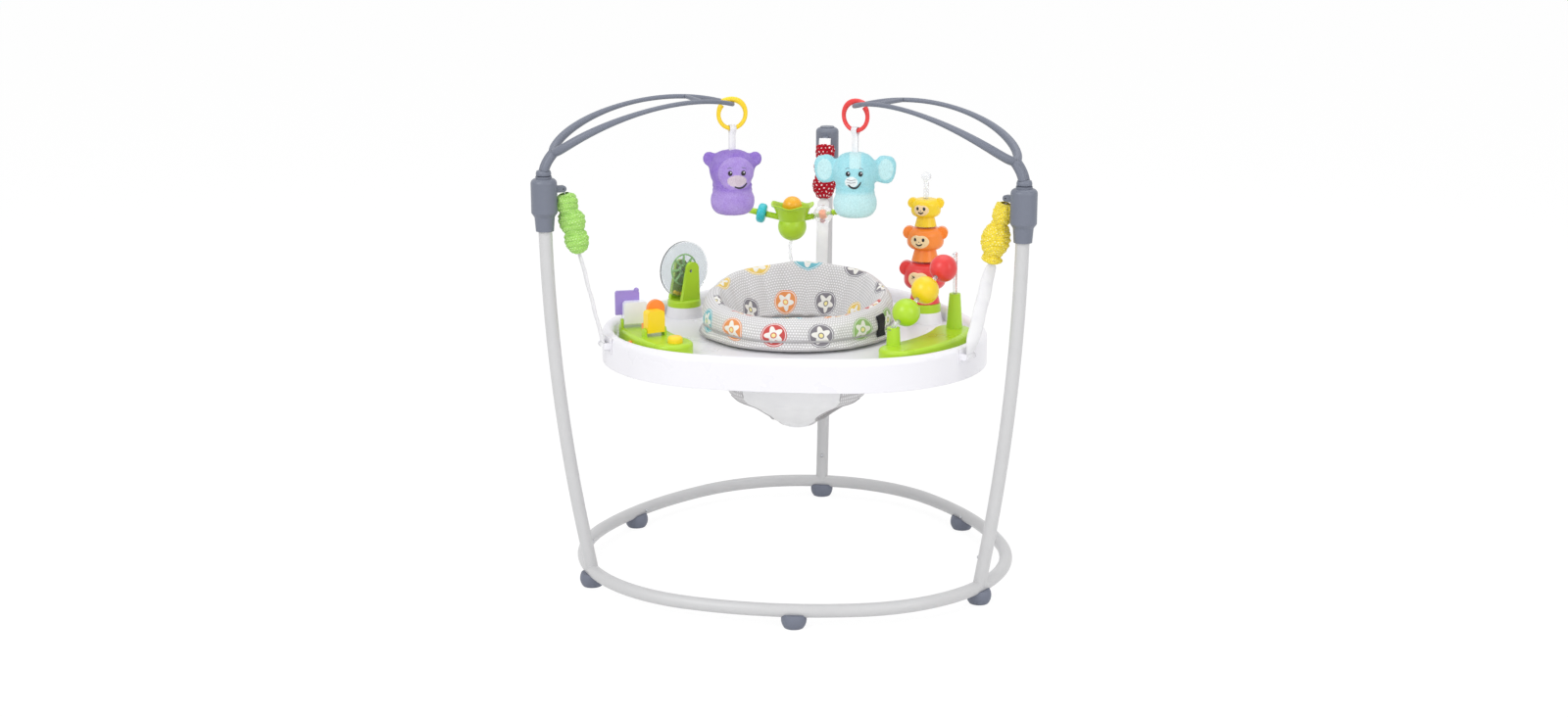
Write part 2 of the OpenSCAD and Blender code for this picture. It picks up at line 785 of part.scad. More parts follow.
module springs() color(steel) for (a = corners) hung(a)
    swept(spring_path, wire_d / 2, [1, 0, 0], wire_sides);

// Gathered cover: a small puff above a large one, with folds that wind round them
function cover_radius(s, a) =
    let (puff = pow(sin(180 * s), 0.4), bulge = lookup(s, cover_line),
         fold = 1 + cover_fold_share * sin(cover_folds * a + cover_twist * s))
    cover_neck_r + (cover_r / (1 + cover_fold_share) * bulge * fold - cover_neck_r) * puff;

module spring_cover(a, tint) color(tint) hung(a) difference() {
    loft([for (i = [0 : cover_rings]) let (s = i / cover_rings)
        [for (k = [0 : cover_sides - 1]) let (t = 360 * k / cover_sides, r = cover_radius(1 - s, t))
            [r * cos(t), r * sin(t), -cover_end + (cover_end - cover_start) * s]]]);
    translate([0, 0, -cover_end - over])
        cylinder(r = cover_bore_r, h = cover_end, $fn = 24);
}

// Straps: webbing with a narrow sewn loop above and a wide loop round the clip's bar
module webbing_loop(hole_r, w) rotate([90, 0, 0]) linear_extrude(w, center = true) difference() {
    circle(r = hole_r + webbing_t);
    circle(r = hole_r);
}

module straps() color(white) for (a = corners) hung(a) {
    top_loop = eye_hole_r + webbing_t;
    bar_loop = clip_bar_d / 2 + soft_gap;
    tab_z = -spring_reach - top_loop - strap_tab_len;
    translate([0, 0, -spring_reach]) webbing_loop(eye_hole_r, lug_w);
    translate([-webbing_t / 2, -lug_w / 2, tab_z])
        cube([webbing_t, lug_w, strap_tab_len + webbing_t]);
    translate([-webbing_t / 2, -webbing_w / 2, -strap_run + bar_loop])
        cube([webbing_t, webbing_w, strap_run - bar_loop + tab_z]);
    translate([0, 0, -strap_run]) webbing_loop(bar_loop, webbing_w);
}

module strap_clips() color(white) for (a = corners) rotate(a) {
    translate([clip_r, 0, clip_z]) rotate([90, 0, 0])
        cylinder(d = clip_bar_d, h = clip_w, center = true);
    for (s = [-1, 1]) translate([0, s * (clip_w - clip_arm_t) / 2, 0]) {
        translate([tray_corner + clip_plate_t / 2, -clip_arm_t / 2, clip_z - clip_arm_h / 2])
            cube([clip_reach - clip_plate_t / 2, clip_arm_t, clip_arm_h]);
        translate([clip_r, 0, clip_z]) rotate([90, 0, 0])
            cylinder(d = clip_arm_h, h = clip_arm_t, center = true);
    }
    intersection() {
        translate([0, -clip_w / 2, clip_z - clip_plate_h / 2]) cube([clip_r, clip_w, clip_plate_h]);
        corner_arc(tray_side, tray_bow_r, tray_bend_r)
            translate([0, clip_z - clip_plate_h / 2]) square([clip_plate_t, clip_plate_h]);
    }
}

// Tray
module rim_section(g) {
    wall_h = tray_h - rim_r;
    leg_z = tray_h - deck_drop - deck_t;
    translate([g - tray_wall, g]) square([tray_wall - 2 * g, wall_h - g]);
    translate([-rim_r, wall_h]) intersection() {
        difference() {
            circle(r = rim_r - g);
            circle(r = rim_r - tray_wall + g);
        }
        translate([-rim_r, 0]) square([2 * rim_r, rim_r]);
    }
    translate([g - 2 * rim_r, leg_z + g]) square([tray_wall - 2 * g, wall_h - leg_z - g]);
}

module tray() color(white) difference() {
    union() {
        translate([0, 0, tray_z]) for (a = corners) {
            rotate(a) corner_arc(tray_side, tray_bow_r, tray_bend_r) rim_section(0);
            half = bow_half(tray_side, tray_bow_r, tray_bend_r) + arc_angle(lap, tray_bow_r);
            rotate(a + half_turn) bow_arc(tray_side, tray_bow_r, -half, half)
                rim_section(seam);
        }
        translate([0, 0, deck_z - deck_t]) linear_extrude(deck_t) difference() {
            polygon(triangle_points(tray_side - deck_inset, tray_bow_r - deck_inset,
                tray_bend_r - deck_inset));
            circle(r = seat_hole_r);
        }
        translate([0, 0, tray_z]) rotate_extrude() translate([seat_hole_r + skirt_gap, 0])
            square([tray_wall, deck_z - deck_t - tray_z]);
        sunk = deck_t / 2;
        at(spinner_r, spinner_a, deck_z - sunk)
            cylinder(r1 = pedestal_foot_r, r2 = spinner_base_r, h = pedestal_h + sunk);
        at(stack_at_r, stack_a, deck_z - sunk)
            cylinder(r1 = pedestal_foot_r, r2 = stack_base_r, h = pedestal_h + sunk);
        at(flower_r, flower_a, deck_z - sunk) rotate_extrude()
            rounded_top(pivot_boss_r, flower_pivot_h + pivot_ball_r / 2 + sunk, pivot_ball_r / 2);
    }
    at(flower_r, flower_a, pivot_z) {
        sphere(r = pivot_ball_r + run_fit);
        cylinder(r = pivot_mouth_r, h = pivot_ball_r);
    }
}

// Seat: a spool-shaped ring in the deck's hole, a padded roll and a hanging sling
module seat_ring() color(white) rotate_extrude() {
    translate([seat_neck_r, seat_flange_z]) square([seat_flange_r - seat_neck_r, seat_wall]);
    translate([seat_neck_r, seat_lip_z]) square([seat_wall, seat_flange_z - seat_lip_z + seat_wall]);
    translate([seat_neck_r, seat_lip_z]) square([seat_lip_r - seat_neck_r, seat_wall]);
}

function pad_h(a) =
    pad_front_h + (pad_back_h - pad_front_h) * pow((1 + sin(a)) / 2, pad_wing_power);

function pad_share(k, a) = let (w = (1 + sin(a)) / 2, s = w * w * (3 - 2 * w))
    pad_section_shares[k] + (pad_back_shares[k] - pad_section_shares[k]) * s;

module seat_pad() color(grey) loft_loop([for (i = [0 : pad_steps - 1])
    let (a = 360 * i / pad_steps, h = pad_h(a))
    [for (k = [0 : len(pad_section_shares) - 1]) let (p = pad_share(k, a))
        polar(pad_r - pad_w * p[0], a, pad_z + h * p[1])]]);

// Half outline of the sling, from its upper edge to the middle of its bottom
function sling_line(t) =
    let (bottom_z = sling_top_z - sling_depth + t)
    concat([for (p = sling_shares) [crotch_r + (sling_top_r - crotch_r) * p[0] - t,
                                    sling_top_z - sling_depth * p[1]]],
           [[crotch_r * sling_heel_shares[0] - t, bottom_z + sling_heel_shares[1] * crotch_r],
            [crotch_r * sling_heel_shares[2] - t, bottom_z], [0, bottom_z]]);

module seat_sling() color(white) difference() {
    rotate_extrude() difference() {
        polygon(concat([[0, sling_top_z]], sling_line(0)));
        polygon(concat([[0, sling_top_z + over], [sling_top_r - sling_t, sling_top_z + over]],
                       sling_line(sling_t)));
    }
    for (s = [-1, 1]) at(leg_hole_at, -90 + s * (90 - leg_hole_turn), sling_top_z - leg_hole_drop)
        rotate([0, -leg_hole_lean, 0])
            cylinder(r = leg_hole_r, h = 2 * leg_hole_reach, center = true);
}

module at_spinner(z = 0) at(spinner_r, spinner_a, z) rotate(spinner_turn) children();

// Spinner: a fork of two blades with a clear disc of loose beads on an axle between them
module blade() rotate([90, 0, 90]) linear_extrude(blade_t) {
    top = disc_z - pedestal_z - spinner_base_h + blade_up;
    polygon([[-blade_w / 2, 0], [blade_w / 2, 0], [blade_lean + blade_top_r, top],
             [blade_lean - blade_top_r, top]]);
    translate([blade_lean, top]) circle(r = blade_top_r);
}

module spinner_base() color(lime) at_spinner() difference() {
    union() {
        translate([0, 0, pedestal_z]) rotate_extrude()
            rounded_top(spinner_base_r, spinner_base_h, spinner_base_h / 3);
        for (x = [blade_at, -blade_at - blade_t])
            translate([x, 0, pedestal_z + spinner_base_h]) blade();
    }
    translate([-blade_at - blade_t, 0, disc_z]) rotate([0, 90, 0])
        cylinder(r = axle_r + run_fit, h = 2 * (blade_at + blade_t));
}

// Half section of the disc, with its axis upright
module lens(shrink) intersection() {
    translate([0, lens_r - disc_t / 2]) circle(r = lens_r - shrink, $fn = 256);
    translate([0, disc_t / 2 - lens_r]) circle(r = lens_r - shrink, $fn = 256);
    translate([0, -disc_t / 2]) square([disc_r - shrink, disc_t]);
}

module spinner_disc() color(clear) at_spinner(disc_z) difference() {
    rotate([0, 90, 0]) rotate_extrude() {
        difference() {
            lens(0);
            lens(disc_wall);
        }
        translate([0, -blade_at - blade_t]) square([axle_r, 2 * (blade_at + blade_t)]);
    }
    translate([0, 0, -disc_r - over]) cylinder(r = vent_r, h = disc_wall + 2 * over);
}

module spinner_beads() color(yellow) at_spinner(disc_z)
    for (i = [0 : bead_count - 1]) rotate([(i - (bead_count - 1) / 2) * bead_step, 0, 0])
        translate([0, 0, -bead_ring_r]) sphere(r = bead_r);

// Stacking figures on a clear rod
module stack_base() color(lime) at(stack_at_r, stack_a) difference() {
    translate([0, 0, pedestal_z]) rotate_extrude()
        rounded_top(stack_base_r, stack_base_h, stack_base_h / 5);
    translate([0, 0, pedestal_z + stack_base_h - rod_seat])
        cylinder(r = rod_r + push_fit, h = rod_seat + over);
}

module stack_rod() color(clear) at(stack_at_r, stack_a) {
    foot_z = pedestal_z + stack_base_h - rod_seat;
    translate([0, 0, foot_z]) cylinder(r = rod_r, h = rod_top - foot_z);
    translate([0, 0, rod_top]) sphere(r = rod_ball_r);
}

module figure(i, z, tint) color(tint) at(stack_at_r, stack_a, z) difference() {
    r = stack_r[i];
    h = stack_h[i];
    rotate(-stack_a) {
        cylinder(r1 = r * skirt_foot_share, r2 = r * skirt_waist_share, h = h * skirt_h_share);
        translate([0, 0, h * head_z_share]) rotate_extrude()
            rounded_both(r, h * head_h_share, min(r, h * head_h_share) * figure_round_share);
        for (s = [-1, 1]) translate([s * r * ear_out_share, 0, h * ear_up_share]) rotate([90, 0, 0])
            cylinder(r = r * ear_r_share, h = r * ear_t_share, center = true);
    }
    translate([0, 0, -over]) cylinder(r = rod_r + run_fit, h = h + 2 * over);
}

module stack_red() figure(0, stack_z0, red);
module stack_orange() figure(1, stack_z1, orange);
module stack_yellow() figure(2, stack_z2, yellow);

// Lime bases that follow the tray's corners
module curved_base(r, w, from, to) translate([0, 0, deck_z]) {
    into = arc_angle(lap, r);
    rotate(from - into) rotate_extrude(angle = to - from + 2 * into) translate([r, 0])
        for (s = [0, 1]) mirror([s, 0]) rounded_top(w / 2, toy_base_h, toy_round);
    at(r, to) rotate_extrude(angle = 180)
        rounded_top(w / 2 - base_seam, toy_base_h - base_seam, toy_round);
    at(r, from) rotate(180) rotate_extrude(angle = 180)
        rounded_top(w / 2 - base_seam, toy_base_h - base_seam, toy_round);
}

// Space inside such a base, which is a shell that stands on the deck
module base_core(r, w, from, to) translate([0, 0, deck_z - over]) {
    core_w = w - 2 * toy_wall;
    core_h = toy_base_h - toy_wall + over;
    rotate(from) rotate_extrude(angle = to - from) translate([r - core_w / 2, 0]) square([core_w, core_h]);
    for (a = [from, to]) at(r, a) cylinder(d = core_w - 2 * base_seam, h = core_h - base_seam);
}

// Bead arc
module along_arc() translate(arc_low)
    rotate([0, acos(arc_dir[2] / arc_len), atan2(arc_dir[1], arc_dir[0])]) children();

module arc_base() color(lime) difference() {
    union() {
        curved_base(arc_base_r, arc_base_w, arc_base_from, arc_base_to);
        translate([arc_low[0], arc_low[1], toy_top_z - toy_round])
            cylinder(r1 = low_post_foot_r, r2 = low_post_top_r, h = arc_low[2] - toy_top_z + toy_round);
        translate([arc_high[0], arc_high[1], toy_top_z - toy_round])
            cylinder(r1 = tall_post_foot_r, r2 = tall_post_top_r, h = tall_post_h + toy_round);
    }
    base_core(arc_base_r, arc_base_w, arc_base_from, arc_base_to);
    along_arc() rotate(socket_turn) translate([0, 0, -post_socket])
        cylinder(r = arc_tube_r + push_fit, h = 2 * post_socket);
    translate([arc_high[0], arc_high[1], toy_top_z + tall_post_h - post_socket])
        cylinder(r = arc_tube_r + push_fit, h = 2 * post_socket);
}

module arc_tube() color(clear) {
    drop = arc_high[2] - toy_top_z - tall_post_h + post_socket;
    along_arc() translate([0, 0, -post_socket])
        cylinder(r = arc_tube_r, h = arc_len + post_socket);
    translate(arc_high) sphere(r = arc_tube_r + tube_seam);
    translate(arc_high - [0, 0, drop]) cylinder(r = arc_tube_r, h = drop);
}

module ball(i, tint) color(tint) along_arc() translate([0, 0, arc_len * ball_shares[i]]) difference() {
    sphere(r = ball_r);
    cylinder(r = arc_tube_r + run_fit, h = 2 * ball_r + over, center = true);
}

module ball_green() ball(0, lime);
module ball_yellow() ball(1, yellow);
module ball_red() ball(2, red);

// Flower on a springy stalk, with a bead on each leaf arm
module at_flower(z) at(flower_r, flower_a, z) rotate(-flower_a) children();
module leaf_arm(s) translate([0, 0, leaf_z]) rotate([0, s * (90 - leaf_tilt), 0]) children();

module flower_stalk() color(clear) at_flower(0) {
    translate([0, 0, pivot_z]) sphere(r = pivot_ball_r);
    translate([0, 0, pivot_z]) cylinder(r = stalk_r, h = stalk_len);
}

module funnel_section() polygon([
    [funnel_foot_r - funnel_wall, 0], [funnel_foot_r, 0],
    [petal_r, funnel_h], [petal_r - funnel_wall, funnel_h]
]);

module leaf(s, bead_l) leaf_arm(s) {
    cylinder(r = leaf_rod_r, h = leaf_reach);
    for (z = [leaf_bead_at + bead_l / 2 + free_gap, leaf_bead_at - bead_l / 2 - free_gap - leaf_stop_t])
        translate([0, 0, z]) cylinder(r = leaf_stop_r, h = leaf_stop_t);
    translate([0, 0, leaf_reach]) rotate([0, 90, 0])
        cylinder(r = leaf_blade_r, h = leaf_blade_t, center = true);
}

module flower_head() color(lime) at_flower(0) difference() {
    union() {
        translate([0, 0, cup_z]) sphere(r = cup_r);
        translate([0, 0, cup_z]) cylinder(r = core_r, h = dome_z - cup_z);
        difference() {
            translate([0, 0, funnel_z]) rotate_extrude() funnel_section();
            for (i = [0 : petal_count - 1]) rotate(back + 360 * (i + 0.5) / petal_count)
                translate([0, 0, funnel_z + funnel_h + petal_notch_up]) rotate([0, 90, 0])
                    cylinder(r = petal_notch_r, h = petal_r + over);
        }
        leaf(-1, teal_l);
        leaf(1, 2 * clear_r);
    }
    translate([0, 0, dome_z]) sphere(r = dome_r + dome_fit);
    translate([0, 0, pivot_z]) cylinder(r = stalk_r + push_fit, h = stalk_len);
}

module flower_dome() color(orange) at_flower(dome_z) sphere(r = dome_r);

module on_leaf(s) at_flower(0) leaf_arm(s) translate([0, 0, leaf_bead_at]) difference() {
    children();
    cylinder(r = leaf_rod_r + run_fit, h = 2 * teal_r + 2 * over, center = true);
}

module bead_teal() color(teal) on_leaf(-1) translate([0, 0, -teal_l / 2]) rotate_extrude()
    rounded_both(teal_r, teal_l, teal_round);
module bead_clear() color(clear) on_leaf(1) sphere(r = clear_r);

// Flip toy: two rocking pieces on pins, a push button and a small knob that turns
small_w = flip_w * flip_small_share;
function flip_reach(w) = w / 2 + free_gap + hinge_ear_t;

module hinge_pair(w) {
    for (s = [-1, 1]) translate([s * (w / 2 + free_gap + hinge_ear_t / 2), 0, 0]) {
        translate([-hinge_ear_t / 2, -hinge_ear_r, -toy_round - hinge_up])
            cube([hinge_ear_t, 2 * hinge_ear_r, hinge_up + toy_round]);
        rotate([0, 90, 0]) cylinder(r = hinge_ear_r, h = hinge_ear_t, center = true);
    }
    rotate([0, 90, 0]) cylinder(r = hinge_pin_r, h = 2 * flip_reach(w), center = true);
}

module at_flip_left() at(flip_left_r, flip_left_a, hinge_z) children();
module at_flip_right() at(flip_right_r, flip_right_a, hinge_z) children();

module flip_base() color(lime) difference() {
    union() {
        difference() {
            union() {
                curved_base(flip_base_r, flip_base_w, flip_base_from, flip_base_to);
                at_flip_left() hinge_pair(flip_w);
                at_flip_right() hinge_pair(small_w);
            }
            base_core(flip_base_r, flip_base_w, flip_base_from, flip_base_to);
        }
        at(flip_base_r, flip_button_a, toy_top_z - flip_button_pocket - flip_button_wall)
            cylinder(r = flip_button_r + free_gap + flip_button_wall, h = flip_button_pocket);
    }
    at(flip_base_r, flip_button_a, toy_top_z - flip_button_pocket)
        cylinder(r = flip_button_r + free_gap, h = flip_button_pocket + over);
    at(flip_base_r + flip_base_w / 2 - knob_stem_l, knob_a, knob_z) rotate([0, 90, 0])
        cylinder(r = knob_stem_r + run_fit, h = knob_stem_l + over);
}

// A front block on the hinge pin, and a taller plate behind it
module flip_front(w) difference() {
    h = flip_h * flip_front_share;
    translate([0, flip_front_t / 2, -flip_sole]) rotate([90, 0, 0]) linear_extrude(flip_front_t) {
        translate([-w / 2, 0]) square([w, h - flip_round]);
        translate([-w / 2 + flip_round, 0]) square([w - 2 * flip_round, h]);
        for (s = [-1, 1]) translate([s * (w / 2 - flip_round), h - flip_round]) circle(r = flip_round);
    }
    rotate([0, 90, 0]) cylinder(r = hinge_pin_r + run_fit, h = w + over, center = true);
}

// Its lower part keeps clear of the hinge, and its upper part stands to one side
module behind_front(w) translate([0, -flip_front_t / 2, -flip_sole]) rotate([90, 0, 0])
    linear_extrude(flip_back_t) {
        translate([-w / 2, 0]) square([w, plate_step + lap]);
        children();
    }

module flip_white() color(white) at_flip_left() flip_front(flip_w);
module flip_yellow() color(yellow) at_flip_right() flip_front(small_w);
module flip_orange() color(orange) at_flip_right() behind_front(small_w) {
    arch_z = flip_h + arch_rise - small_w / 2;
    translate([arch_shift - small_w / 2, plate_step]) square([small_w, arch_z - plate_step]);
    translate([arch_shift, arch_z]) circle(d = small_w);
}

module flip_purple() color(purple) at_flip_left() {
    top = flip_h + plate_rise;
    round = flip_knob_r;
    behind_front(flip_w) translate([plate_shift, 0]) {
        translate([-flip_w / 2, plate_step]) square([flip_w, top - round - plate_step]);
        translate([-flip_w / 2 + round, plate_step]) square([flip_w - 2 * round, top - plate_step]);
        for (s = [-1, 1]) translate([s * (flip_w / 2 - round), top - round]) circle(r = round);
    }
    translate([plate_shift - flip_w / 2 + round, -(flip_front_t + flip_back_t) / 2, top - flip_sole])
        sphere(r = flip_knob_r);
}

module flip_button() color(yellow)
    at(flip_base_r, flip_button_a, toy_top_z + flip_button_up - flip_button_h)
        rotate_extrude() rounded_top(flip_button_r, flip_button_h, flip_button_round);

module flip_knob() color(orange)
    at(flip_base_r + flip_base_w / 2 + soft_gap, knob_a, knob_z) rotate([0, 90, 0]) {
        rotate_extrude() rounded_top(knob_r, knob_t, knob_t / 2);
        translate([0, 0, over - knob_stem_l]) cylinder(r = knob_stem_r, h = knob_stem_l - over);
    }

// Ring links on the arms' tips, and stuffed toys on tapes below them
module link(a, tint) color(tint) at(arm_tip_r, a, link_z) rotate([90, 0, 0])
    rotate_extrude() translate([link_r, 0]) circle(d = link_d);

module tape(a) at(arm_tip_r, a, tape_z) {
    rotate([90, 0, 90]) linear_extrude(tape_w, center = true) difference() {
        circle(r = tape_loop_r + tape_t);
        circle(r = tape_loop_r);
    }
    translate([-tape_w / 2, -tape_t / 2, -tape_len - tape_sunk])
        cube([tape_w, tape_t, tape_len + tape_sunk - tape_loop_r]);
}

module at_plush(a, z) translate(polar(arm_tip_r, a, plush_top - z)) children();
head_h = plush_h * plush_head_share;
body_h = plush_h * plush_body_share;

module plush_head() plump(plush_w, plush_w * plush_depth_share, head_h);

module plush_body(a, tint) color(tint) difference() {
    at_plush(a, plush_h - body_h / 2)
        plump(plush_w * plush_body_w_share, plush_w * plush_body_w_share * plush_depth_share, body_h);
    at_plush(a, head_h / 2) scale(1 + soft_gap / head_h) plush_head();
}

module bear_head() color(purple) {
    tape(left);
    at_plush(left, head_h / 2) plush_head();
    ear = plush_w * bear_ear_share;
    for (s = [-1, 1]) at_plush(left, plush_w * bear_ear_down_share)
        translate([s * plush_w * bear_ear_out_share, 0, 0]) plump(ear, ear * plush_depth_share, ear);
}

module elephant_head() color(aqua) {
    tape(right);
    at_plush(right, head_h / 2) plush_head();
    for (s = [-1, 1]) at_plush(right, plush_w * elephant_ear_down_share)
        translate([s * plush_w * elephant_ear_out_share, 0, 0])
            plump(plush_w * elephant_ear_w_share, plush_w * elephant_ear_t_share,
                  plush_w * elephant_ear_h_share);
}

module bear_body() plush_body(left, purple);
module elephant_body() plush_body(right, aqua);

placed() base_tube(left);  // base_tube_left
placed() base_tube(right);  // base_tube_right
placed() base_tube(back);  // base_tube_back
placed() leg_tube(left);  // leg_tube_left
placed() leg_tube(right);  // leg_tube_right
placed() leg_tube(back);  // leg_tube_back
placed() base_feet();
placed() leg_button(left);  // leg_button_left
placed() leg_button(right);  // leg_button_right
placed() leg_button(back);  // leg_button_back
placed() ring_button(left);  // ring_button_front
placed() ring_button(right);  // ring_button_right
placed() ring_button(back);  // ring_button_left
placed() housing(left);  // housing_left
placed() housing(right);  // housing_right
placed() housing(back);  // housing_back
placed() housing_cap();
placed() toy_arm(left);  // toy_arm_left
placed() toy_arm(right);  // toy_arm_right
placed() springs();
placed() spring_cover(left, green);  // spring_cover_left
placed() spring_cover(right, yellow);  // spring_cover_right
placed() spring_cover(back, red);  // spring_cover_back
placed() tray();
placed() straps();
placed() strap_clips();
placed() seat_ring();
placed() seat_pad();
placed() seat_sling();
placed() spinner_base();
placed() spinner_disc();
placed() spinner_beads();
placed() stack_base();
placed() stack_rod();
placed() stack_red();
placed() stack_orange();
placed() stack_yellow();
placed() arc_base();
placed() arc_tube();
placed() ball_green();
placed() ball_yellow();
placed() ball_red();
placed() flower_stalk();
placed() flower_head();
placed() flower_dome();
placed() bead_teal();
placed() bead_clear();
placed() flip_base();
placed() flip_white();
placed() flip_purple();
placed() flip_yellow();
placed() flip_orange();
placed() flip_button();
placed() flip_knob();
placed() link(left, yellow);  // link_left
placed() link(right, red);  // link_right
placed() bear_head();
placed() bear_body();
placed() elephant_head();
placed() elephant_body();
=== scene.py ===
"""Baby activity jumper: finishes for the frame's hard parts, and the fabric, plush and print on it."""
import json
import math
from math import cos, exp, hypot, pi, radians, sin, sqrt

import bpy
from mathutils import Matrix, Vector, noise
from mathutils.bvhtree import BVHTree

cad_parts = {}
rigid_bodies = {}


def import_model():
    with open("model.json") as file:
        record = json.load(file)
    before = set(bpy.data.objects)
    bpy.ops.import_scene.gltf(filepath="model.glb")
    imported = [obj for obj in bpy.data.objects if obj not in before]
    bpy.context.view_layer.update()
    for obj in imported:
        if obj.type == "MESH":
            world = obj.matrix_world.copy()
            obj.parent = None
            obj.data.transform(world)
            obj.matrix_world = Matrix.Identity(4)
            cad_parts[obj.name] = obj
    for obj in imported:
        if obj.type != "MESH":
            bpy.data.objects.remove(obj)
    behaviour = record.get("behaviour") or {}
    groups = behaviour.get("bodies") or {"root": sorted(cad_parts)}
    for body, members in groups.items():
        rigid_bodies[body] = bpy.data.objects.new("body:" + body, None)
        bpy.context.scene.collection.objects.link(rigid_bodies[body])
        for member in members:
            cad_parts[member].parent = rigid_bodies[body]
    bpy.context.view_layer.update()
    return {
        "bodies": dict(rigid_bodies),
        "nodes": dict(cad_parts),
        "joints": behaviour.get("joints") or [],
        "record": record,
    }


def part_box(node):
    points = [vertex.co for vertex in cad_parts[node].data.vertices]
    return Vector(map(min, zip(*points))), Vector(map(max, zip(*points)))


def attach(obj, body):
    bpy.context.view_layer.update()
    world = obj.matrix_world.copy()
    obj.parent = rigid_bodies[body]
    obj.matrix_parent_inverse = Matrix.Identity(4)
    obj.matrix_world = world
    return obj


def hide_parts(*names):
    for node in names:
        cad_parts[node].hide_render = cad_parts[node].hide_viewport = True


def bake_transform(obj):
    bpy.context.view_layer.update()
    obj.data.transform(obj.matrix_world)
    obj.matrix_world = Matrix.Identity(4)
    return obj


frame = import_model()
nodes = frame["nodes"]
scene = bpy.context.scene

# Places that the source fixes, in millimetres; the seat's axis lies at SHIFT along Y
SHIFT = -57.8983
CORNERS = {"left": 210, "right": 330, "back": 90}
EYE, CLIP = (466.5, 770), (394, 470)
STRAP_RUN = math.dist(EYE, CLIP)
TAU = 2 * pi


def spot(r, degrees, z):
    """A point by radius, direction and height about the seat's axis, in millimetres, as metres."""
    a = radians(degrees)
    return Vector((r * cos(a), r * sin(a) + SHIFT, z)) / 1000


def place(x, y, z):
    """A point of the frame in millimetres, as metres."""
    return Vector((x, y, z)) / 1000


def step(x, low, high):
    """Smooth step from 0 at low to 1 at high."""
    t = min(max((x - low) / (high - low), 0), 1)
    return t * t * (3 - 2 * t)


def lerp(a, b, t):
    return a + (b - a) * t


def having(thing, **values):
    """Sets several of a thing's properties."""
    for key, value in values.items():
        setattr(thing, key, value)
    return thing


# Node graphs

def tone(r, g, b):
    """A colour as it shows on screen, 0 to 255, in linear light."""
    shares = (r / 255, g / 255, b / 255)
    return (*[c / 12.92 if c <= 0.04045 else ((c + 0.055) / 1.055) ** 2.4 for c in shares], 1)


def shade(colour, factor):
    return (*[min(c * factor, 1) for c in colour[:3]], 1)


def put(tree, kind, settings=None, **inputs):
    """Adds a node; inputs are values or the sockets to link, with _ for a blank in their names."""
    node = having(tree.nodes.new("ShaderNode" + kind), **(settings or {}))
    for key, value in inputs.items():
        feed(tree, value, node.inputs[key.replace("_", " ")])
    return node


def feed(tree, value, socket):
    if isinstance(value, bpy.types.NodeSocket):
        tree.links.new(value, socket)
    else:
        socket.default_value = value


def calc(tree, operation, *values):
    node = put(tree, "Math", {"operation": operation})
    for i, value in enumerate(values):
        feed(tree, value, node.inputs[i])
    return node.outputs[0]


def mixed(tree, factor, a, b):
    node = put(tree, "Mix", {"data_type": "RGBA"})
    for i, value in ((0, factor), (6, a), (7, b)):
        feed(tree, value, node.inputs[i])
    return node.outputs[2]


def spread(tree, value, low, high, start=0.0, end=1.0):
    """Maps value from start..end to low..high, held at the ends."""
    ends = {"From_Min": start, "From_Max": end, "To_Min": low, "To_Max": high}
    return put(tree, "MapRange", Value=value, **ends).outputs[0]


def begin(name, **sockets):
    material = bpy.data.materials.new(name)
    material.use_nodes = True
    shader = material.node_tree.nodes["Principled BSDF"]
    for key, value in sockets.items():
        shader.inputs[key.replace("_", " ")].default_value = value
    return material, material.node_tree


def surface(material, colour=None, rough=None, normal=None):
    """Feeds the material's shader, and gives the material back."""
    shader = material.node_tree.nodes["Principled BSDF"]
    for value, name in ((colour, "Base Color"), (rough, "Roughness"), (normal, "Normal")):
        if value is not None:
            feed(material.node_tree, value, shader.inputs[name])
    return material


def grain(tree, scale, detail=2.0):
    spot_in = put(tree, "TexCoord").outputs["Object"]
    return put(tree, "TexNoise", Vector=spot_in, Scale=scale, Detail=detail).outputs[0]


def bumped(tree, strength, distance, height, **normal):
    """The normal of a surface raised by height."""
    node = put(tree, "Bump", Strength=strength, Distance=distance, Height=height, **normal)
    return node.outputs["Normal"]


def moulded(name, colour, rough=0.34, scale=900, depth=0.10, edge=0.0012, worn=1.10, vary=0.04):
    """Moulded or painted surface: fine skin, slow drift of tone and gloss, rounded and rubbed edges."""
    material, tree = begin(name)
    drift = grain(tree, 14, 3)
    soft = put(tree, "Bevel", {"samples": 4}, Radius=edge).outputs["Normal"]
    flat = put(tree, "NewGeometry").outputs["Normal"]
    turn = put(tree, "VectorMath", {"operation": "DOT_PRODUCT"})
    feed(tree, soft, turn.inputs[0])
    feed(tree, flat, turn.inputs[1])
    rubbed = spread(tree, turn.outputs["Value"], 0.0, 0.7, 0.995, 0.85)
    base = mixed(tree, drift, shade(colour, 1 - vary), shade(colour, 1 + vary))
    return surface(material, mixed(tree, rubbed, base, shade(colour, worn)),
                   spread(tree, drift, rough - 0.04, rough + 0.05, 0.3, 0.7),
                   bumped(tree, depth, 0.0004, grain(tree, scale), Normal=soft))


def see_through(name, colour, rough=0.05, bend=1.28, share=0.74):
    """Clear plastic with faint flow lines; bend is its index of refraction, share the light let in."""
    material, tree = begin(name, Base_Color=colour, IOR=bend, Transmission_Weight=share)
    gloss = spread(tree, grain(tree, 25, 3), rough * 0.4, rough * 2, 0.3, 0.7)
    return surface(material, None, gloss, bumped(tree, 0.03, 0.0006, grain(tree, 60, 2)))


def metal(name, colour):
    material, tree = begin(name, Metallic=1.0)
    drift = grain(tree, 260, 4)
    return surface(material, mixed(tree, drift, shade(colour, 0.85), colour),
                   spread(tree, drift, 0.22, 0.42), bumped(tree, 0.08, 0.0003, drift))


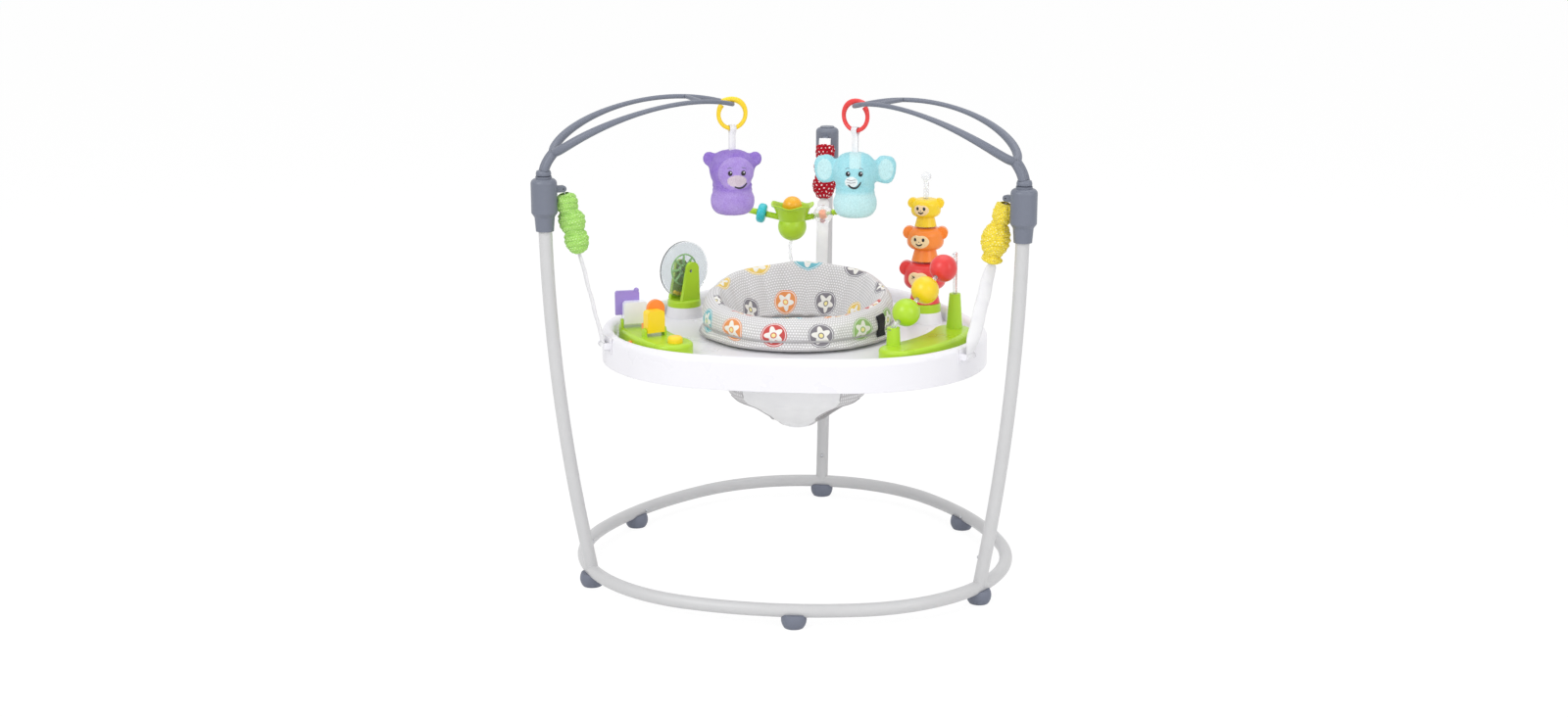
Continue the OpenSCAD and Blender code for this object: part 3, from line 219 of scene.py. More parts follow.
def cloth_uv(tree):
    """The cloth's own coordinates, in metres across and along."""
    parts = put(tree, "SeparateXYZ", Vector=put(tree, "UVMap", {"uv_map": "cloth"}).outputs["UV"])
    return parts.outputs["X"], parts.outputs["Y"]


def threads(tree, u, v, pitch):
    """Height of a plain weave: over one thread, under the next."""
    across = calc(tree, "SINE", calc(tree, "MULTIPLY", u, TAU / pitch))
    along = calc(tree, "SINE", calc(tree, "MULTIPLY", v, TAU / pitch))
    return calc(tree, "MULTIPLY_ADD", calc(tree, "MULTIPLY", across, along), 0.5, 0.5)


def cells(tree, u, v, pitch, stagger=0.5):
    """(place across and along from the cell's middle, in metres, and the cell's own number pair)."""
    row = calc(tree, "FLOOR", calc(tree, "DIVIDE", v, pitch))
    odd = calc(tree, "MULTIPLY", calc(tree, "PINGPONG", row, 1.0), stagger)
    column = calc(tree, "ADD", calc(tree, "DIVIDE", u, pitch), odd)
    x = calc(tree, "MULTIPLY", calc(tree, "SUBTRACT", calc(tree, "FRACT", column), 0.5), pitch)
    y = calc(tree, "SUBTRACT", v, calc(tree, "MULTIPLY", calc(tree, "ADD", row, 0.5), pitch))
    number = put(tree, "CombineXYZ", X=calc(tree, "FLOOR", column), Y=row).outputs[0]
    return x, y, number


def away(tree, x, y):
    """Distance from the cell's middle."""
    squares = [calc(tree, "MULTIPLY", d, d) for d in (x, y)]
    return calc(tree, "SQRT", calc(tree, "ADD", *squares))


def inside(tree, distance, radius, blur=0.0003):
    return spread(tree, distance, 1.0, 0.0, radius - blur, radius + blur)


def fabric(name, colour, pitch=0.0009, depth=0.35, dots=None, sheen=0.25):
    """Woven cloth on its own coordinates; dots is (pitch, radius, colour)."""
    material, tree = begin(name, Sheen_Weight=sheen, Sheen_Roughness=0.45,
                           Specular_IOR_Level=0.2)
    u, v = cloth_uv(tree)
    weave = threads(tree, u, v, pitch)
    drift = grain(tree, 40, 4)
    base = mixed(tree, drift, shade(colour, 0.9), shade(colour, 1.06))
    base = mixed(tree, calc(tree, "MULTIPLY", weave, 0.22), base, shade(colour, 0.74))
    if dots:
        x, y, _ = cells(tree, u, v, dots[0])
        base = mixed(tree, inside(tree, away(tree, x, y), dots[1]), base, dots[2])
    height = calc(tree, "MULTIPLY_ADD", grain(tree, 500, 3), 0.6, weave)
    rough = spread(tree, drift, 0.75, 0.92)
    return surface(material, base, rough, bumped(tree, depth, 0.0005, height))


def printed_seat_cloth():
    """Grey cloth with pin dots and a generic print of blossoms on coloured rounds."""
    grey, pale = tone(208, 206, 207), tone(248, 248, 249)
    material, tree = begin("seat_cloth", Sheen_Weight=0.2, Sheen_Roughness=0.5,
                           Specular_IOR_Level=0.2)
    u, v = cloth_uv(tree)
    weave = threads(tree, u, v, 0.0011)
    drift = grain(tree, 30, 4)
    base = mixed(tree, drift, shade(grey, 0.93), shade(grey, 1.05))
    x, y, _ = cells(tree, u, v, 0.0052)
    base = mixed(tree, inside(tree, away(tree, x, y), 0.0015, 0.0003), base, pale)
    x, y, number = cells(tree, u, v, PRINT_PITCH)
    chance = put(tree, "TexWhiteNoise", {"noise_dimensions": "2D"}, Vector=number).outputs["Value"]
    tint = put(tree, "ValToRGB", Fac=chance)
    ramp = tint.color_ramp
    ramp.interpolation = "CONSTANT"
    while len(ramp.elements) < len(PRINT_HUES):
        ramp.elements.new(1.0)
    for i, hue in enumerate(PRINT_HUES):
        ramp.elements[i].position = i / len(PRINT_HUES)
        ramp.elements[i].color = tone(*hue)
    distance = away(tree, x, y)
    hue = tint.outputs["Color"]
    base = mixed(tree, inside(tree, distance, 0.0240), base, hue)
    ring = calc(tree, "ABSOLUTE", calc(tree, "SUBTRACT", distance, 0.0217))
    base = mixed(tree, inside(tree, ring, 0.0006, 0.0002), base, pale)
    spin = calc(tree, "MULTIPLY", chance, 9.0)
    angle = calc(tree, "MULTIPLY_ADD", calc(tree, "ARCTAN2", y, x), 5.0, spin)
    petal = calc(tree, "MULTIPLY_ADD", calc(tree, "COSINE", angle), -0.0040, distance)
    base = mixed(tree, inside(tree, petal, 0.0142), base, tone(246, 244, 238))
    base = mixed(tree, inside(tree, distance, 0.0058), base, hue)
    base = mixed(tree, inside(tree, distance, 0.0038), base, tone(250, 236, 160))
    base = mixed(tree, calc(tree, "MULTIPLY", weave, 0.16), base, shade(grey, 0.7))
    height = calc(tree, "MULTIPLY_ADD", grain(tree, 420, 3), 0.7, weave)
    rough = spread(tree, drift, 0.75, 0.92)
    return surface(material, base, rough, bumped(tree, 0.35, 0.0005, height))


def pile(name):
    """Short plush pile in the colours painted on the mesh, with painted shade where the pile dips
    between its tufts.
    """
    material, tree = begin(name, Sheen_Weight=0.3, Sheen_Roughness=0.4,
                           Specular_IOR_Level=0.15, Roughness=0.9)
    paint = put(tree, "Attribute", {"attribute_name": "tint"}).outputs["Color"]
    tuft = grain(tree, 420, 5)
    fold = grain(tree, 70, 3)
    # Painted shade: a darker, richer copy of the colours fills the dips of the tuft noise that also
    # raises the bump
    shaded_pile = put(tree, "HueSaturation", Color=paint, Saturation=1.08, Value=0.84).outputs["Color"]
    lit = mixed(tree, spread(tree, tuft, 0.0, 1.0, 0.35, 0.62), shaded_pile, paint)
    base = mixed(tree, spread(tree, fold, 0.0, 0.07, 0.35, 0.65), lit, shade(tone(255, 255, 255), 0.9))
    return surface(material, base, None, bumped(tree, 0.55, 0.0012, tuft))


# Meshes

# Cloth coordinates of a fan's triangle
FAN_UVS = [(0, 0), (0.001, 0), (0, 0.001)]


def piece(name, verts, faces, material, uvs=None):
    """A smooth mesh object; uvs holds one pair for each corner of each face, in metres of cloth."""
    mesh = bpy.data.meshes.new(name)
    mesh.from_pydata([tuple(v) for v in verts], [], faces)
    if uvs:
        layer = mesh.uv_layers.new(name="cloth")
        for corner, pair in zip(layer.data, uvs):
            corner.uv = pair
    mesh.materials.append(material)
    mesh.shade_smooth()
    obj = bpy.data.objects.new(name, mesh)
    scene.collection.objects.link(obj)
    return obj


def grid(rows, wrap_rows=False, wrap=True, scale=None):
    """(vertices, faces, uvs) of rows of points; wrap closes each row, scale is the cloth's size."""
    count, width = len(rows), len(rows[0])
    faces, uvs = [], []
    tall, wide = (count if wrap_rows else count - 1), (width if wrap else width - 1)
    for i in range(tall):
        for j in range(wide):
            corners = ((i, j), (i, j + 1), (i + 1, j + 1), (i + 1, j))
            faces.append(tuple((a % count) * width + b % width for a, b in corners))
            if scale:
                uvs += [(scale[0] * b / wide, scale[1] * a / tall) for a, b in corners]
    return [p for row in rows for p in row], faces, uvs


def capped(verts, faces, uvs, width, count):
    """Closes the first and the last row with fans."""
    verts = list(verts)
    faces = list(faces)
    for start, order in ((0, -1), ((count - 1) * width, 1)):
        middle = len(verts)
        verts.append(sum((verts[start + j] for j in range(width)), Vector()) / width)
        for j in range(width):
            edge = (start + j, start + (j + 1) % width)[::order]
            faces.append((*edge, middle))
            if uvs:
                uvs += FAN_UVS
    return verts, faces, uvs


def formed(name, rows, material, scale, cap=False, **closed):
    """A piece of rows of points; cap closes its ends."""
    verts, faces, uvs = grid(rows, scale=scale, **closed)
    if cap:
        verts, faces, uvs = capped(verts, faces, uvs, len(rows[0]), len(rows))
    return piece(name, verts, faces, material, uvs)


def in_metres(matrix, rows):
    return [[matrix @ (p / 1000) for p in row] for row in rows]


def around(count):
    return [TAU * k / count for k in range(count)]


def heading(a):
    """The level unit vector at an angle."""
    return Vector((cos(a), sin(a), 0))


def square_to(out):
    return Vector((-out.y, out.x, 0))


def frames(points, loop=False, up=(0, 0, 1)):
    """(side, upper) unit vectors along a path, turned as little as possible from point to point."""
    count = len(points)
    out = []
    side = None
    for i in range(count):
        before = points[i - 1] if i or loop else points[i]
        after = points[(i + 1) % count] if i + 1 < count or loop else points[i]
        ahead = (after - before).normalized()
        if side is None:
            side = ahead.cross(Vector(up))
            if side.length < 1e-4:
                side = ahead.cross(Vector((1, 0, 0)))
        side = (side - ahead * side.dot(ahead)).normalized()
        out.append((side, ahead.cross(side) * -1))
    return out


def tube(name, points, radius, material, sides=12, loop=False, up=(0, 0, 1)):
    """A round bar along points; radius is a number or one for each point."""
    radii = radius if hasattr(radius, "__len__") else [radius] * len(points)
    rows = [[p + side * (r * cos(t)) + upper * (r * sin(t)) for t in around(sides)]
            for p, r, (side, upper) in zip(points, radii, frames(points, loop, up))]
    length = sum((b - a).length for a, b in zip(points, points[1:]))
    size = (TAU * radii[len(radii) // 2], length)
    return formed(name, rows, material, size, not loop, wrap_rows=loop)


def smooth_path(points, steps=8, loop=False):
    """A Catmull-Rom curve through points."""
    count = len(points)
    out = []
    for i in range(count if loop else count - 1):
        near = [(i + k) % count if loop else min(max(i + k, 0), count - 1) for k in (-1, 0, 1, 2)]
        a, b, c, d = (points[k] for k in near)
        for n in range(steps):
            t = n / steps
            bend = 2 * b + (c - a) * t + (2 * a - 5 * b + 4 * c - d) * t ** 2
            out.append(0.5 * (bend + (3 * b - a - 3 * c + d) * t ** 3))
    return out if loop else out + [points[-1]]


def lathe(name, profile, material, matrix, sides=40):
    """A turned solid: profile is (radius, height) pairs in millimetres, from its foot to its top."""
    rows = in_metres(matrix, [[Vector((r * cos(t), r * sin(t), z)) for t in around(sides)]
                              for r, z in profile])
    return formed(name, rows, material, (0.1, 0.1), True)


def ball_line(r, z, start, end, gap):
    """Part of a ball's outline for lathe, by degrees from its foot."""
    turns = [radians(t) for t in range(start, end, gap)]
    return [(r * sin(t), z - r * cos(t)) for t in turns]


def joined(name, *objs):
    """One object from several, with the first one's name replaced."""
    bpy.ops.object.select_all(action="DESELECT")
    for obj in objs:
        obj.select_set(True)
    bpy.context.view_layer.objects.active = objs[0]
    bpy.ops.object.join()
    objs[0].name = name
    objs[0].data.name = name
    return objs[0]


def settled(obj):
    """Applies the object's modifiers for good."""
    graph = bpy.context.evaluated_depsgraph_get()
    mesh = bpy.data.meshes.new_from_object(obj.evaluated_get(graph))
    obj.modifiers.clear()
    obj.data = mesh
    mesh.name = obj.name
    mesh.shade_smooth()
    return obj


def added(obj, kind, **settings):
    having(obj.modifiers.new(kind.lower(), kind), **settings)
    return obj


def swell(obj, pressure=4.0, cap=0.004, spare=0.0, held=None):
    """Cloth under pressure for 20 frames; no point moves further than cap, and held ones stay."""
    rest = [v.co.copy() for v in obj.data.vertices]
    cloth = obj.modifiers.new("cloth", "CLOTH")
    settings = having(cloth.settings, quality=6, mass=0.25, use_pressure=True, shrink_min=-spare,
                      uniform_pressure_force=pressure)
    settings.effector_weights.gravity = 0
    cloth.collision_settings.use_collision = False
    if held:
        group = obj.vertex_groups.new(name="held")
        group.add(held, 1.0, "REPLACE")
        settings.vertex_group_mass = "held"
    for number in range(1, 21):
        scene.frame_set(number)
    graph = bpy.context.evaluated_depsgraph_get()
    moved = [v.co.copy() for v in obj.evaluated_get(graph).data.vertices]
    obj.modifiers.remove(cloth)
    obj.vertex_groups.clear()
    scene.frame_set(1)
    for v, a, b in zip(obj.data.vertices, rest, moved):
        shift = b - a
        v.co = a + shift * min(1, cap / max(shift.length, 1e-9))
    return obj


def tree_of(obj):
    faces = [tuple(p.vertices) for p in obj.data.polygons]
    return BVHTree.FromPolygons([v.co for v in obj.data.vertices], faces)


def given(obj, body, slot, *stands_for):
    """Carries a piece on a body and hides the nodes that it replaces; slot, its finish, is not used."""
    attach(obj, body)
    if stands_for:
        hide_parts(*stands_for)


def hung(degrees):
    """From a strap's frame, whose -Z runs from the spring's eye to the tray's clip, to the object's."""
    turn = Matrix.Translation((0, SHIFT / 1000, 0)) @ Matrix.Rotation(radians(degrees), 4, "Z")
    lean = math.atan2(EYE[0] - CLIP[0], EYE[1] - CLIP[1])
    return turn @ Matrix.Translation((EYE[0] / 1000, 0, EYE[1] / 1000)) @ Matrix.Rotation(lean, 4, "Y")


# Materials by the record's slots

PRINT_PITCH = 0.086
PRINT_HUES = [(110, 190, 205), (238, 150, 80), (205, 70, 66), (240, 205, 90), (150, 190, 110),
              (128, 124, 132)]
FINISH = {
    "tube": moulded("tube_paint", tone(201, 201, 202), rough=0.36, scale=700, depth=0.12, edge=0.0006),
    "slate": moulded("slate_plastic", tone(112, 117, 131), rough=0.42, scale=1100, depth=0.22),
    "foot": moulded("foot_rubber", tone(112, 117, 132), rough=0.55, scale=800, depth=0.3),
    "steel": metal("steel", tone(190, 192, 196)),
    "white": moulded("white_plastic", tone(236, 235, 240), rough=0.30, scale=800, depth=0.08,
                     worn=1.0, vary=0.01),
    "clear": see_through("clear_plastic", tone(250, 251, 253), 0.08),
    "seat_fabric": printed_seat_cloth(),
    "sling_fabric": fabric("sling_cloth", tone(253, 253, 255), pitch=0.0012, depth=0.25, sheen=0.1),
    "webbing": fabric("webbing_cloth", tone(250, 249, 254), pitch=0.0020, depth=0.6, sheen=0.15),
    "cover_green": fabric("cover_green_cloth", tone(170, 222, 112), sheen=0.1,
                          dots=(0.0062, 0.0011, tone(212, 240, 176))),
    "cover_yellow": fabric("cover_yellow_cloth", tone(246, 222, 66), sheen=0.1,
                           dots=(0.0062, 0.0011, tone(252, 242, 176))),
    "cover_red": fabric("cover_red_cloth", tone(178, 14, 36), sheen=0.05,
                        dots=(0.0112, 0.0020, tone(250, 236, 238))),
    "plush_purple": pile("plush_purple"),
    "plush_aqua": pile("plush_aqua"),
}
for slot, colour, rough in (("lime", (176, 216, 42), 0.30), ("yellow", (250, 213, 32), 0.30),
                            ("orange", (252, 140, 48), 0.30), ("red", (232, 62, 62), 0.30),
                            ("purple", (163, 140, 214), 0.32), ("teal", (52, 192, 204), 0.28)):
    FINISH[slot] = moulded(slot + "_plastic", tone(*colour), rough)
BLACK = moulded("black_plastic", tone(24, 22, 26), rough=0.18, depth=0.03)
PIPING = fabric("piping_cloth", tone(184, 182, 184), pitch=0.0010, depth=0.4)
TAG = fabric("tag_cloth", tone(30, 30, 34), pitch=0.0008, depth=0.4, sheen=0.1)
CREAM = moulded("face_cream", tone(255, 220, 172), rough=0.38)
# Painted light: a brighter, bluer copy of the white plastic for the flip toy's block, to lift the shade
# and the yellow bounce on it
LIT_WHITE = moulded("lit_white_plastic", tone(246, 249, 255), rough=0.30, vary=0.01)
AMBER = moulded("amber_plastic", tone(248, 178, 34), rough=0.28)
WHEEL = moulded("wheel_plastic", tone(158, 214, 128), rough=0.3)
THIN = see_through("thin_clear_plastic", tone(236, 239, 241), 0.05, 1.16, 0.95)

slot_of = {part["node"]: part["material_slot"] for part in frame["record"]["subparts"]}
for node, obj in nodes.items():
    obj.data.materials.clear()
    obj.data.materials.append(FINISH[slot_of[node]])
for node, material in (("flower_dome", AMBER), ("flip_white", LIT_WHITE), ("spinner_disc", THIN)):
    nodes[node].data.materials[0] = material


# Toy arms: two rails that leave the housing side by side, part, and meet at the tip

# Radii of an arm's foot and tip, its curve as (radius, height), and its collar's profile
ARM_R, TIP_R = 502, 134
ARM_CURVE = ((ARM_R, 796.6), (ARM_R, 872), (277, 955), (TIP_R, 909))
COLLAR = [(4, 769), (7.5, 770), (7.9, 795), (13.4, 796), (14, 797.5), (14, 801), (12.6, 805), (8, 807)]


def arm_curve(t):
    weights = ((1 - t) ** 3, 3 * (1 - t) ** 2 * t, 3 * (1 - t) * t * t, t ** 3)
    return tuple(sum(w * c[i] for w, c in zip(weights, ARM_CURVE)) for i in (0, 1))


def arm_rail(degrees, side, s):
    """A point of a rail; s runs from -0.22, in the housing, to 1, at the tip."""
    r, z = arm_curve(0.18 + 0.82 * max(s, -0.219))
    half = 60 * max(sin(pi * max(s, 0)), 0) ** 0.54
    half = max(half, 4.4 * (1 - step(s, 0.5, 1)))
    return spot(r, degrees, z) + square_to(heading(radians(degrees))) * side * half / 1000


def toy_arm(name):
    degrees = CORNERS[name]
    ease = [(1 - cos(pi * i / 60)) / 2 for i in range(61)]
    stem = [-0.219 + 0.215 * i / 12 for i in range(12)]
    path = [arm_rail(degrees, 1, s) for s in stem + ease]
    back = [arm_rail(degrees, -1, s) for s in (stem + ease)[::-1]][1:]
    thick = [lerp(8.2, 4.3, step(s, 0.02, 0.6)) / 1000 for s in stem + ease]
    rails = tube("arm_rails_" + name, path + back, thick + thick[-2::-1], FINISH["slate"], 16)
    cross = [arm_rail(degrees, side, 0.8) for side in (-1, 1)]
    bar = tube("arm_bar", [lerp(*cross, i / 8) for i in range(9)], 0.004, FINISH["slate"], 14)
    collar = lathe("arm_collar", COLLAR, FINISH["slate"], Matrix.Translation(spot(ARM_R, degrees, 0)))
    given(joined("arm_" + name, rails, bar, collar), "stand", "slate", "toy_arm_" + name)


for name in ("left", "right"):
    toy_arm(name)


# Springs, gathered covers and straps between the stand and the tray

def springs():
    coils = []
    for degrees in CORNERS.values():
        turns, drop, r = 10, 94, 6.2
        path = [Vector((0, -r * 0.2, -2)), Vector((0, r * 0.4, -4)), Vector((0, r * 0.9, -8))]
        path += [Vector((r * cos(TAU * (0.25 + i / 16)), r * sin(TAU * (0.25 + i / 16)),
                         -12 - drop * i / (16 * turns))) for i in range(16 * turns + 1)]
        path += [Vector((0, r * 0.9, -110)), Vector((0, r * 0.4, -114)), Vector((0, -r * 0.2, -116.5))]
        path = [hung(degrees) @ (p / 1000) for p in path]
        coils.append(tube("coil", path, 0.0009, FINISH["steel"], 8))
    coil = joined("spring_coils", *coils)
    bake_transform(coil)
    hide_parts("springs")


# Puffs of each cover: (share of its length, half length as a share, radius and shift in millimetres)
PUFFS = {
    "left": ((0.16, 0.20, 18, 0), (0.47, 0.22, 22.5, 2), (0.80, 0.22, 20.5, 1)),
    "right": ((0.17, 0.21, 17.5, 0), (0.61, 0.30, 24, 3), (0.95, 0.09, 16, 1)),
    "back": ((0.14, 0.18, 18, 0), (0.43, 0.20, 20, 1), (0.75, 0.26, 22.5, 1)),
}


def cover_puff(name, s):
    """(radius, shift) of a cover's plain form at a share of its length."""
    neck, power = 12.0, 7
    total, weight, shift = neck ** power, 1e-9, 0.0
    for middle, half, radius, aside in PUFFS[name]:
        swell_here = radius * sqrt(max(1 - ((s - middle) / half) ** 2, 0))
        total += swell_here ** power
        weight += swell_here
        shift += swell_here * aside
    return total ** (1 / power), shift / (weight + 4)


def gathered_cover(name, slot, phase):
    """A tube of cloth pushed together: puffs, with creases that wander round it."""
    degrees = CORNERS[name]
    count, sides = 130, 96
    rows = []
    for i in range(count + 1):
        s = i / count
        ends = step(s, 0, 0.05) * (1 - step(s, 0.95, 1))
        plain, shift = cover_puff(name, s)
        plain = lerp(8.2, plain, step(s, 0, 0.03) * (1 - step(s, 0.97, 1)))
        row = []
        for a in around(sides):
            wander = 1.2 * sin(a + phase) + 0.8 * sin(2 * a - 1.7 * phase)
            wander += 0.5 * sin(3 * a + 2 * phase)
            crease = abs(sin(pi * 11 * s + wander)) ** 0.6 - 0.7
            fine = abs(sin(pi * 23 * s - 1.7 * wander + a)) ** 0.7 - 0.6
            lobe = sin(a * 2 + 5 * s + phase) + 0.6 * sin(3 * a - 8 * s)
            spot_here = Vector((cos(a) * 2.2, sin(a) * 2.2, s * 9 + phase))
            crumple = noise.noise(spot_here) + 0.6 * noise.noise(spot_here * 2.3)
            r = plain + (3.0 * crease + 1.3 * fine + 0.7 * lobe + 2.0 * crumple) * ends
            z = -10 - 114 * s + (1.4 * sin(a + phase) + 2.2 * crumple) * ends
            row.append(Vector((r * cos(a) - shift, r * sin(a), z)))
        rows.append(row)
    rows = in_metres(hung(degrees), rows)
    cover = formed("gathered_cover_" + name, rows, FINISH[slot], (0.150, 0.18))
    settled(added(cover, "SOLIDIFY", thickness=0.0010, offset=-1.0))
    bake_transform(cover)
    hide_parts("spring_cover_" + name)


# The right strap hangs twisted, in degrees by corner
STRAP_TWIST = {330: -55}


def ribbon(name, matrix, points, widths, thick, normals, scale, turns=None, loop=False):
    """Webbing along points in millimetres; its width lies along local Y, turned about Z by turns."""
    rows = []
    for i, (p, w, n) in enumerate(zip(points, widths, normals)):
        twist = Matrix.Rotation(turns[i] if turns else 0, 3, "Z")
        side = twist @ Vector((0, w / 2, 0))
        edge = twist @ Vector((0, min(w / 2, thick / 2), 0))
        half = twist @ n * thick / 2
        rows.append([p - side, p - side + edge + half, p + half, p + side - edge + half,
                     p + side, p + side - edge - half, p - half, p - side + edge - half])
    return formed(name, in_metres(matrix, rows), FINISH["webbing"], scale, not loop, wrap_rows=loop)


def strap(degrees):
    """A narrow sewn loop round the spring's hook, a tab that widens, a loop round the clip's bar."""
    parts = []
    for z, r, w in ((-118, 2.9, 10), (-STRAP_RUN, 4.4, 25)):
        ring = [Vector((r * cos(a), 0, z + r * sin(a))) for a in around(28)]
        out = [Vector((cos(a), 0, sin(a))) for a in around(28)]
        parts.append(ribbon("loop", hung(degrees), ring, [w] * 28, 1.7, out, (0.05, 0.03), loop=True))
    count = 60
    path, widths, turns = [], [], []
    for i in range(count + 1):
        z = lerp(-120.5, 4 - STRAP_RUN, i / count)
        path.append(Vector((0.5 * sin(i * 0.35), 0, z)))
        widths.append(10 + 14.5 * step(z, -121, -134))
        twist = radians(STRAP_TWIST.get(degrees, 0)) * step(i / count, -0.3, 0.5)
        turns.append(twist * (1 - step(i / count, 0.78, 1)))
    normals = [Vector((1, 0, 0))] * (count + 1)
    parts.append(ribbon("tab", hung(degrees), path, widths, 1.8, normals, (0.054, 0.183), turns))
    return parts


def cover_tab():
    """A white tab of webbing between the back housing's eye and its cover."""
    path = [Vector((lerp(-7, -13, i / 8), 0, lerp(2, -16, i / 8))) for i in range(9)]
    tab = ribbon("cover_tab", hung(90), path, [25] * 9, 1.4, [Vector((1, 0, 0))] * 9, (0.05, 0.02))
    given(tab, "stand", "webbing")


def straps():
    parts = [part for degrees in CORNERS.values() for part in strap(degrees)]
    given(joined("strap_webbing", *parts), "tray", "webbing", "straps")


springs()
for name, slot, phase in (("left", "cover_green", 0.4), ("right", "cover_yellow", 2.3),
                          ("back", "cover_red", 4.1)):
    gathered_cover(name, slot, phase)
straps()
cover_tab()


# Seat: padded roll, sling, piping and tag

# Section of the roll at the front and at the back, as shares of its width inwards and of its height
PAD_FRONT = [(0.46, 1), (0.27, 0.96), (0.11, 0.84), (0.01, 0.64), (0, 0.46), (0.06, 0.33), (0.01, 0.2),
             (0.03, 0), (0.93, 0), (1, 0.22), (0.99, 0.5), (0.88, 0.78), (0.68, 0.95)]
PAD_BACK = [(0.22, 1), (0.1, 0.97), (0.03, 0.86), (0, 0.64), (0, 0.46), (0.05, 0.33), (0.01, 0.2),
            (0.03, 0), (0.93, 0), (0.98, 0.16), (0.8, 0.45), (0.55, 0.76), (0.36, 0.96)]
PAD_STEPS = 4
# Height of the pad's underside, in millimetres
PAD_BASE = 463.7


def pad_height(a):
    return 60 + 44 * ((1 + sin(a)) / 2) ** 1.6


def pad_point(a, across, up):
    """A point of the pad's plain form, by direction and shares of its section."""
    return spot(186 - 62 * across, math.degrees(a), PAD_BASE + pad_height(a) * up)


def seat_pad():
    front, back = (smooth_path([Vector((x, y, 0)) for x, y in section], PAD_STEPS, loop=True)
                   for section in (PAD_FRONT, PAD_BACK))
    columns, count = 208, len(front)
    inner = 8 * PAD_STEPS
    rows = []
    for i in range(count):
        wall = max(sin(pi * min(max((i - inner - 1) / (count - inner), 0), 1)), 0) ** 0.7
        row = []
        for a in around(columns):
            p = lerp(front[i], back[i], step(sin(a), -1, 1))
            rear = step(sin(a), -0.45, 0.25)
            channel = wall * rear * (0.085 * abs(cos(11 * a)) ** 0.5 - 0.05)
            bay = 0.010 * sin(5 * a + 4 * p.y) * step(p.y, 0.1, 0.5)
            ripple = noise.noise(Vector((cos(a) * 6, sin(a) * 6, p.y * 3 + p.x * 2)))
            lift = 0.012 * sin(8 * a + 1) * step(p.y, 0.7, 1)
            out = p.x + channel + bay + 0.024 * ripple * step(p.y, 0, 0.2)
            row.append(pad_point(a, out, p.y + lift))
        rows.append(row)
    verts, faces, _ = grid(rows, True)
    depth = []
    for k in range(columns):
        down = [0.0]
        for i in range(count):
            down.append(down[-1] + (rows[(i + 1) % count][k] - rows[i][k]).length)
        depth.append(down)
    uvs = []
    for i in range(count):
        outside = i < inner - 2
        for j in range(columns):
            for a, b in ((i, j), (i, j + 1), (i + 1, j + 1), (i + 1, j)):
                down = depth[b % columns]
                v = down[a] if outside else down[a] - down[-1] + PRINT_PITCH / 2
                uvs.append((b / columns * (13 if outside else 10) * PRINT_PITCH, v))
    pad = piece("seat_roll", verts, faces, FINISH["seat_fabric"], uvs)
    held = [v.index for v in pad.data.vertices if v.co.z < 0.466]
    swell(pad, 3.0, 0.003, 0.03, held)
    settled(added(pad, "SUBSURF", levels=1, render_levels=1))
    given(pad, "seat", "seat_fabric", "seat_pad")
    return pad


def on_pad(tree, a, up, lift=0.0):
    """A point of the pad's outer face at a direction and height, in from outside."""
    target = spot(0, 0, PAD_BASE + pad_height(a) * up)
    out = heading(a)
    return tree.ray_cast(target + out * 0.3, -out)[0] + out * lift


def seat_trim(pad):
    tree = tree_of(pad)
    cords = []
    for up in (0.31, 0.07):
        path = [on_pad(tree, a, up, 0.0004) for a in around(180)]
        cords.append(tube("cord", path, 0.0021, PIPING, 8, loop=True))
    given(joined("seat_piping", *cords), "seat", "seat_fabric")
    a = radians(-24)
    rows = []
    for i in range(13):
        up = lerp(0.78, 0.16, i / 12)
        wave = 0.0012 * sin(i * 0.8)
        across = (-0.082, -0.055, -0.027, 0, 0.027, 0.055, 0.082)
        rows.append([on_pad(tree, a + w, up, 0.0018 + wave) for w in across])
    tag = formed("seat_tag", rows, TAG, (0.03, 0.04), wrap=False)
    added(tag, "SOLIDIFY", thickness=0.0014, offset=0.0)
    settled(added(tag, "SUBSURF", levels=1, render_levels=1))
    given(tag, "seat", "seat_fabric")


SLING_LINE = [(146.3, 458), (145.4, 428), (143.2, 393.6), (133.8, 347.6), (104.6, 325.5), (73.3, 305.3),
              (42, 286.9), (34, 280.5), (21, 275.5), (8, 274), (0.5, 274)]
LEG_HOLES = (-24, -156)
HOLE_R, HOLE_Z, HOLE_LEAN, HOLE_SIZE = 92, 316, radians(40), 45.5
FRONT_PANEL = 43


def sling_shell():
    line = smooth_path([Vector((r, 0, z)) for r, z in SLING_LINE], 6)
    columns = 192
    rows = []
    for p in line:
        row = []
        for k in range(columns):
            a = 360 * k / columns
            drop = 458 - p.z
            slack = step(drop, 10, 60) * (1 - step(drop, 120, 175))
            wave = 1.4 * sin(radians(9 * a)) + sin(radians(16 * a) + drop * 0.03)
            row.append(spot(max(p.x + slack * wave * min(p.x / 90, 1), 0.4), a, p.z))
        rows.append(row)
    return rows


def hole_frame(degrees):
    """(middle, axis, side, upper) of a leg opening; the axis points out and down."""
    out = heading(radians(degrees))
    side = square_to(out)
    axis = out * sin(HOLE_LEAN) - Vector((0, 0, cos(HOLE_LEAN)))
    return spot(HOLE_R, degrees, HOLE_Z), axis, side, axis.cross(side)


